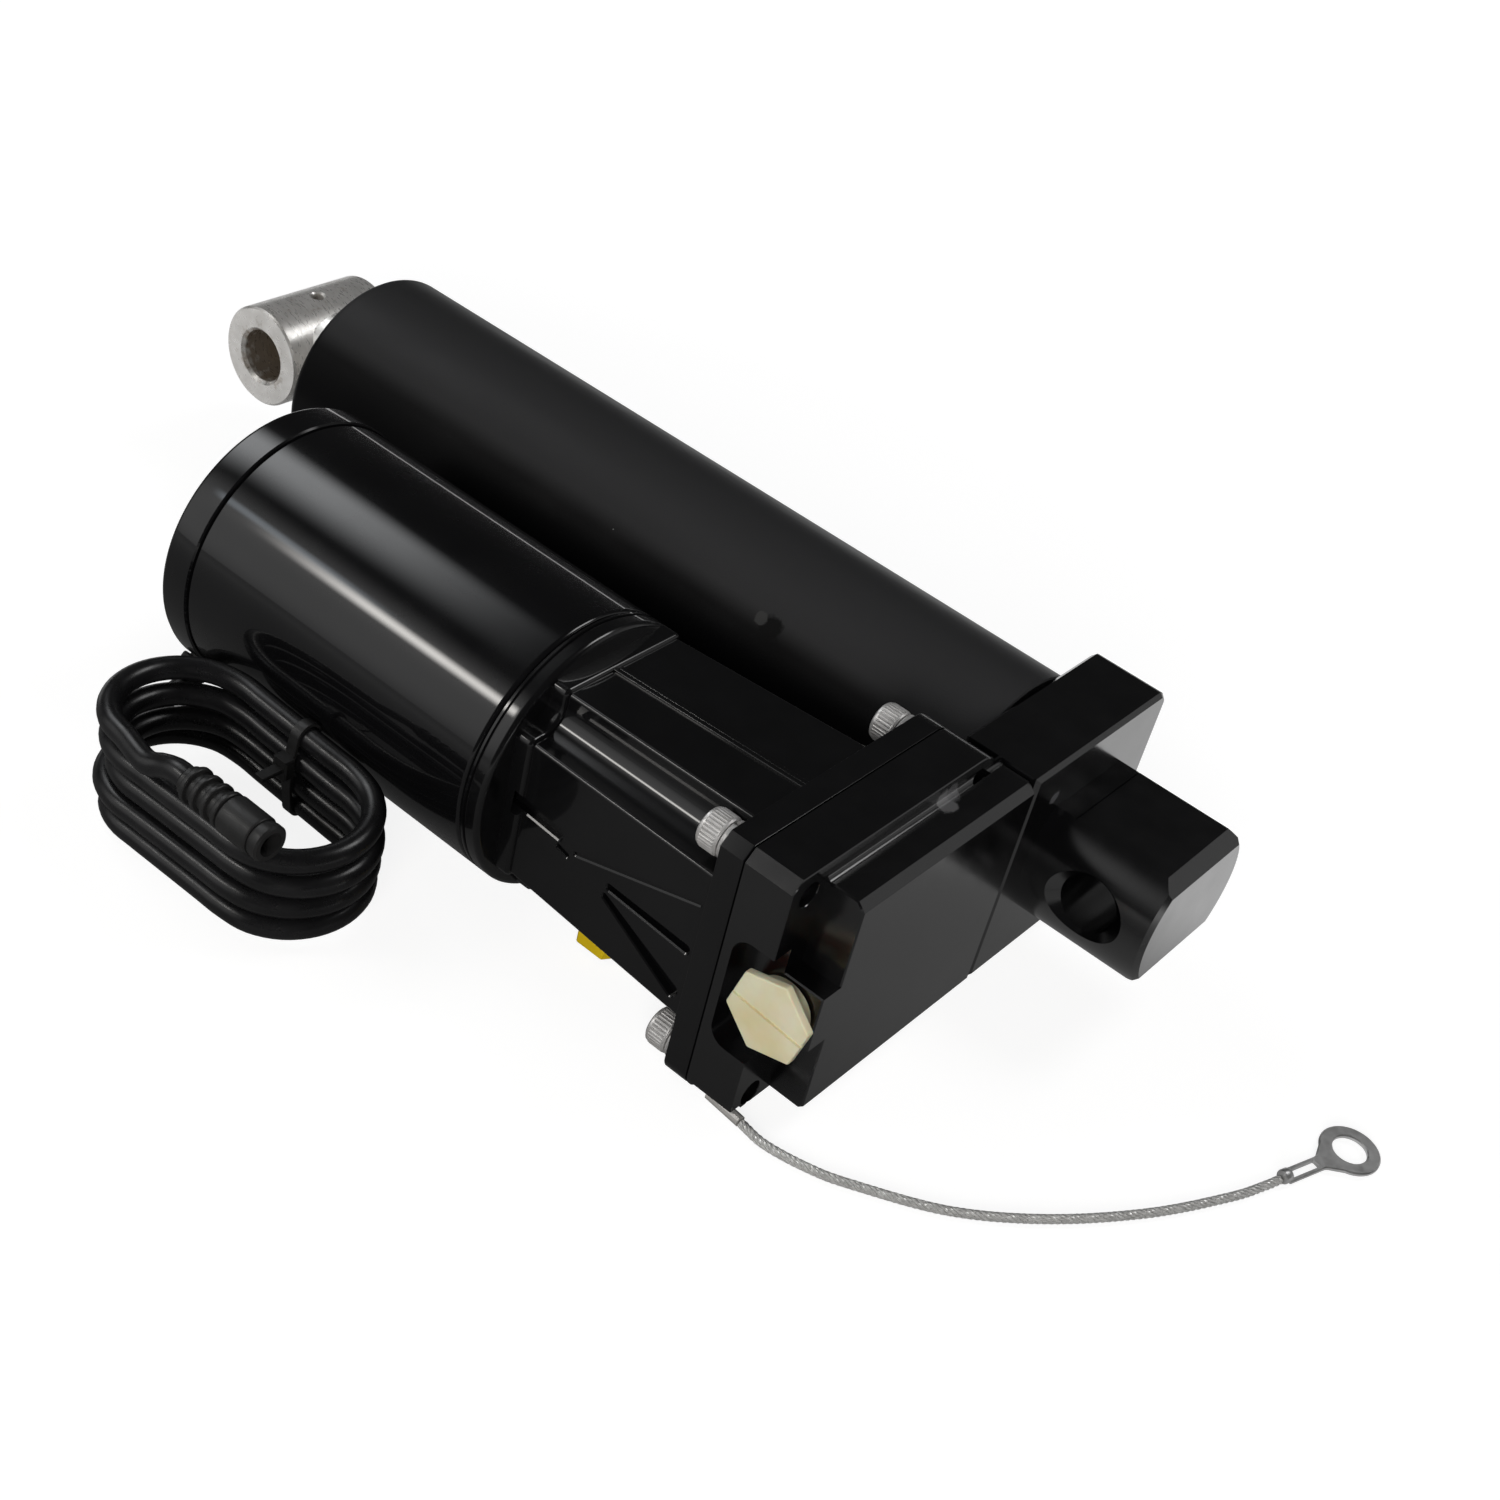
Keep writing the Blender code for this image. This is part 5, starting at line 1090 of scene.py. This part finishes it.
fasteners = {
    "spots": housing["screws"], "flangeFront": 5.75, "gap": 0.3, "washer": 1.3, "shank": 2.35,
    "headRadius": 4.25, "head": 5.0, "knurls": 36, "knurlDepth": 0.2, "socket": 4.0, "socketDepth": 2.5,
    "shankEnd": -8.2,
    "screwTurns": [0.3, 1.4, 2.2, 0.9], "washerTurns": [1.6, 3.1, 4.7, 0.2],
}


def screwShape(size):
    back = size["flangeFront"] + 2 * size["gap"] + size["washer"]
    front, radius = back + size["head"], size["headRadius"]
    count = size["knurls"] * 4
    knurled = []
    for i in range(count):
        turn = 2 * math.pi * i / count
        reach = radius - size["knurlDepth"] * (0, 0.5, 1, 0.5)[i % 4]
        knurled.append((reach * math.cos(turn), reach * math.sin(turn)))
    head = prism(knurled, back + 0.5, front - 0.9, edge=0.15)
    crown = lathe(
        [(back, 0), (back, radius - 0.35), (back + 0.35, radius - 0.12), (front - 0.9, radius - 0.12),
         (front - 0.35, radius - 0.3), (front, radius - 0.75), (front, 0)],
        segments=64,
    )
    tip, thick = size["shankEnd"], size["shank"]
    seat = back + 0.2
    shank = lathe([(tip, 0), (tip, 1.9), (tip + 0.5, thick), (seat, thick), (seat, 0)], segments=32)
    socket = prism(hexagon(size["socket"]), front - size["socketDepth"], front + 1, edge=0)
    flare = lathe([(front - 0.3, 0), (front - 0.3, 2.1), (front + 0.5, 2.9), (front + 0.5, 0)], segments=32)
    return carve(crown, plus(head, shank) + minus(socket, flare))


def washerShape(size):
    back = size["flangeFront"] + size["gap"]
    inner, outer = size["shank"] + 0.45, size["headRadius"] - 0.1
    corners = [(inner, 0.12), (inner + 0.1, 0.02), (outer - 0.15, 0.02), (outer, 0.2), (outer, 1.1),
               (outer - 0.15, 1.28), (inner + 0.1, 1.28), (inner, 1.18)]
    shape = bmesh.new()
    rings = []
    for k in range(41):  # a split ring with a slight helix
        angle = math.radians(9 + 342 * k / 40)
        place = back + 0.04 + 0.12 * (k / 40 - 0.5) * 0.3
        rings.append([
            shape.verts.new((place + h * 0.94, r * math.cos(angle), r * math.sin(angle))) for r, h in corners
        ])
    return skinned(shape, rings)


def makeFasteners(size):
    spots = [(0, y, z) for y, z in size["spots"]]
    for piece, shape, turns, node in (
        ("flangeScrews", screwShape(size), size["screwTurns"], "flange_screw_"),
        ("springWashers", washerShape(size), size["washerTurns"], "spring_washer_"),
    ):
        placed = setAtSpots(shape, spots, turns, "boltSteel")
        addPiece(piece, placed, "boltSteel", [node + str(n) for n in range(1, 5)])
    print("stage: fasteners")


plugs = {
    "x": -13.3, "z": -1.3, "seat": 87.8, "acrossFlats": 16.6, "head": 1.4, "neckRadius": 6.4, "neck": 3.9,
    "shank": 4.9, "turn": 46.0, "slotTurn": -5.0, "slotWidth": 0.8, "slotDepth": 0.6,
    "drainX": 37.0, "drainY": 74.0, "drainAcross": 12.0, "drainTop": -26.9, "drainHead": 3.6,
}


def makePlugs(size):
    seat, radius, shank, across = size["seat"], size["neckRadius"], size["shank"], size["acrossFlats"]
    where = {"along": "Y", "centre": (size["x"], 0, size["z"])}
    neckEnd = seat + size["neck"]
    front = neckEnd + size["head"]
    base = lathe(
        [(seat - 8, 0), (seat - 8, shank - 0.6), (seat - 7.4, shank), (seat, shank), (seat, radius - 0.3),
         (seat + 0.3, radius), (neckEnd - 0.4, radius), (neckEnd, radius - 0.4), (neckEnd, 0)],
        segments=80, **where,
    )
    outline = rounded(hexagon(across, math.radians(size["turn"])), 0.7, steps=4)
    head = prism(outline, neckEnd - 0.5, front, edge=0.35, steps=3, **where)
    turn = Matrix.Rotation(math.radians(size["slotTurn"]), 2)
    wide = size["slotWidth"] / 2
    slot = [turn @ Vector(p) for p in box(-wide, wide, -across, across)]
    groove = prism(slot, front - size["slotDepth"], front + 1, edge=0, **where)
    addPiece("ventPlug", carve(base, plus(head) + minus(groove)), "creamNylon", ["vent_plug"])
    top = size["drainTop"]
    where = {"along": "Z", "centre": (size["drainX"], size["drainY"], 0)}
    outline = rounded(hexagon(size["drainAcross"]), 0.6, steps=4)
    head = prism(outline, top - size["drainHead"], top, edge=0.4, steps=3, **where)
    stem = lathe(
        [(top - 1, 0), (top - 1, 2.5), (top + 3.5, 2.5), (top + 4, 2.1), (top + 4, 0)], segments=40, **where,
    )
    addPiece("drainPlug", carve(head, plus(stem)), "yellowPlastic", ["drain_plug"])
    print("stage: plugs")


makeTubeAndRod(tubeAndRod)
makeClevis(clevis)
makeHousing(housing)
makeCase(caseCasting)
makeMotor(motor)
makeFasteners(fasteners)
makePlugs(plugs)


# floor, lamps and surroundings

studio = {
    "target": (0.0, 0.01, 0.03),
    "lamps": [  # name, direction, distance, length, height, radiance, colour, how far each edge fades
        ("stripLamp", (0.52, 0.66, 0.542), 1.0, 0.26, 0.17, 13.0, (1.0, 0.97, 0.93), (0.1, 0.45, 0.5, 0.5)),
        ("blueStrip", (0.6, 0.575, 0.556), 1.0, 0.22, 0.12, 2.2, (0.8, 0.9, 1.0), (0.4, 0.4, 0.45, 0.45)),
        ("softBox", (0.675, 0.04, 0.737), 1.0, 0.56, 0.72, 3.2, (0.98, 1.0, 1.02), (0.4, 0.3, 0.35, 0.55)),
        ("fillBox", (-0.5, 0.8, 0.33), 1.0, 0.6, 0.5, 9.5, (1.0, 0.98, 0.95), (0.2, 0.2, 0.2, 0.2)),
        ("backBox", (-0.32, -0.5, 0.8), 1.0, 0.5, 0.5, 5.0, (1.0, 1.0, 1.0), (0.3, 0.3, 0.3, 0.3)),
    ],
    "unmirrored": ["fillBox"],  # lights the pieces without a highlight of its own
    "floorReach": 60, "floorDrop": 0.0002, "floorColour": 0.09, "floorSeen": 0.3,
    "floorCamera": (0.87, 1.0), "floorFrom": 0.2, "floorTo": 0.55,  # near and far white, keeps a faint shadow
    "paintedLightWay": (-0.5, -0.87, 0), "paintedLightSpan": (-0.1, 0.2),  # painted reflection: the floor seen in mirrors is painted dark near the pieces as their shadow and bright in front as lamplight
    "paintedLightStops": [(-0.02, 0.02), (0.06, 0.17), (0.1, 0.2), (0.142, 1.0)],
    "sidePaintedLight": 0.6, "sideFrom": 0.1, "sideTo": 0.15, "sideEdge": (0.1, 0.07),  # and painted light beyond the rod end
    "aheadPaintedLight": 0.26, "aheadFrom": -0.05, "aheadTo": 0.5,  # and painted light out past the motor
    "worldDim": 0.026,
    "walls": [  # pale and low: direction, start and end of the fade, brightness
        ((0.62, 0.71, 0.33), 0.86, 0.995, 0.76), ((-0.62, -0.74, 0.2), 0.9, 0.98, 0.28),
    ],
}


def fadeLamp(data, fades):
    data.use_nodes = True
    tree = data.node_tree
    place = addNode(tree, "ShaderNodeNewGeometry").outputs["Parametric"]
    split = addNode(tree, "ShaderNodeSeparateXYZ", Vector=place).outputs
    edges = [("X", 0, fades[0]), ("X", 1, 1 - fades[1]), ("Y", 0, fades[2]), ("Y", 1, 1 - fades[3])]
    level = 1.0
    for axis, start, end in edges:
        level = maths(tree, "MULTIPLY", level, ranged(tree, split[axis], start, end, way="SMOOTHSTEP"))
    feed(tree, tree.nodes["Emission"].inputs["Strength"], level)


def makeLamps(size):
    target = Vector(size["target"])
    for name, direction, distance, long, tall, radiance, colour, fades in size["lamps"]:
        data = bpy.data.lights.new(name, "AREA")
        data.shape = "RECTANGLE"
        data.size, data.size_y = long, tall
        data.energy = radiance * math.pi * long * tall
        data.color = colour
        fadeLamp(data, fades)
        lamp = newObject(name, data)
        lamp.visible_glossy = name not in size["unmirrored"]
        back = Vector(direction).normalized()
        across = (Vector((1, 0, 0)) - back * back.x).normalized()
        lamp.matrix_world = facing(across, back.cross(across), back, target + back * distance)


def makeFloor(size):
    reach = size["floorReach"]
    mesh = bpy.data.meshes.new("floor")
    corners = [(x, y, -size["floorDrop"]) for x, y in box(-reach, reach, -reach, reach)]
    mesh.from_pydata(corners, [], [(0, 1, 2, 3)])
    floor = newObject("floor", mesh)
    paper = bpy.data.materials.new("paperFloor")
    paper.use_nodes = True
    mesh.materials.append(paper)
    tree = paper.node_tree
    tree.nodes.clear()
    rays = addNode(tree, "ShaderNodeLightPath").outputs
    spot = addNode(tree, "ShaderNodeTexCoord").outputs["Object"]
    split = addNode(tree, "ShaderNodeSeparateXYZ", Vector=spot).outputs
    # painted reflection: what mirrors see of the floor is darker near the pieces, a painted shadow, and
    # lighter in front, a painted pool of light
    low, high = size["paintedLightSpan"]
    along = vectors(tree, "DOT_PRODUCT", spot, size["paintedLightWay"])
    near = addNode(tree, "ShaderNodeValToRGB", Fac=ranged(tree, along, low, high))
    stops = near.color_ramp.elements
    while len(stops) < len(size["paintedLightStops"]):
        stops.new(0.5)
    for stop, (place, level) in zip(stops, size["paintedLightStops"]):
        stop.position = (place - low) / (high - low)
        stop.color = (level, level, level, 1)
    side = ranged(tree, split["X"], size["sideFrom"], size["sideTo"], 0.0, size["sidePaintedLight"])
    beside = maths(tree, "MULTIPLY", side, ranged(tree, split["Y"], *size["sideEdge"]))
    ahead = ranged(tree, split["Y"], size["aheadFrom"], size["aheadTo"], 0.0, size["aheadPaintedLight"])
    paintedReflection = maths(tree, "MAXIMUM", maths(tree, "MAXIMUM", near.outputs["Color"], beside), ahead)
    away = vectors(tree, "LENGTH", spot)
    white = ranged(tree, away, size["floorFrom"], size["floorTo"], *size["floorCamera"])
    seen = maths(tree, "MULTIPLY", rays["Is Camera Ray"], white)
    mirrored = maths(tree, "MULTIPLY", rays["Is Glossy Ray"], paintedReflection)
    level = maths(tree, "ADD", maths(tree, "ADD", seen, mirrored), rays["Is Transmission Ray"])
    paleness = ranged(tree, rays["Is Camera Ray"], 0, 1, size["floorColour"], size["floorSeen"])
    diffuse = addNode(tree, "ShaderNodeBsdfDiffuse", Color=paleness).outputs["BSDF"]
    glow = addNode(tree, "ShaderNodeEmission", Strength=level).outputs["Emission"]
    total = addNode(tree, "ShaderNodeAddShader")
    for socket, part in zip(total.inputs, (diffuse, glow)):
        feed(tree, socket, part)
    addNode(tree, "ShaderNodeOutputMaterial", Surface=total.outputs["Shader"])


def makeWorld(size):
    world = bpy.data.worlds.new("studioWorld")
    world.use_nodes = True
    bpy.context.scene.world = world
    tree = world.node_tree
    tree.nodes.clear()
    rays = addNode(tree, "ShaderNodeLightPath").outputs
    sky = addNode(tree, "ShaderNodeTexCoord").outputs["Generated"]
    level = maths(tree, "ADD", rays["Is Camera Ray"], rays["Is Transmission Ray"])
    dim = size["worldDim"]
    for way, start, end, pale in size["walls"]:
        towards = vectors(tree, "DOT_PRODUCT", sky, Vector(way).normalized())
        wall = ranged(tree, towards, start, end, dim, dim + pale, "SMOOTHSTEP")
        level = maths(tree, "MAXIMUM", level, wall)
    ground = addNode(tree, "ShaderNodeBackground", Color=(1, 1, 1, 1), Strength=level)
    addNode(tree, "ShaderNodeOutputWorld", Surface=ground.outputs["Background"])
    bpy.context.scene.view_settings.view_transform = "Standard"


makeLamps(studio)
makeFloor(studio)
makeWorld(studio)
print("stage: studio")
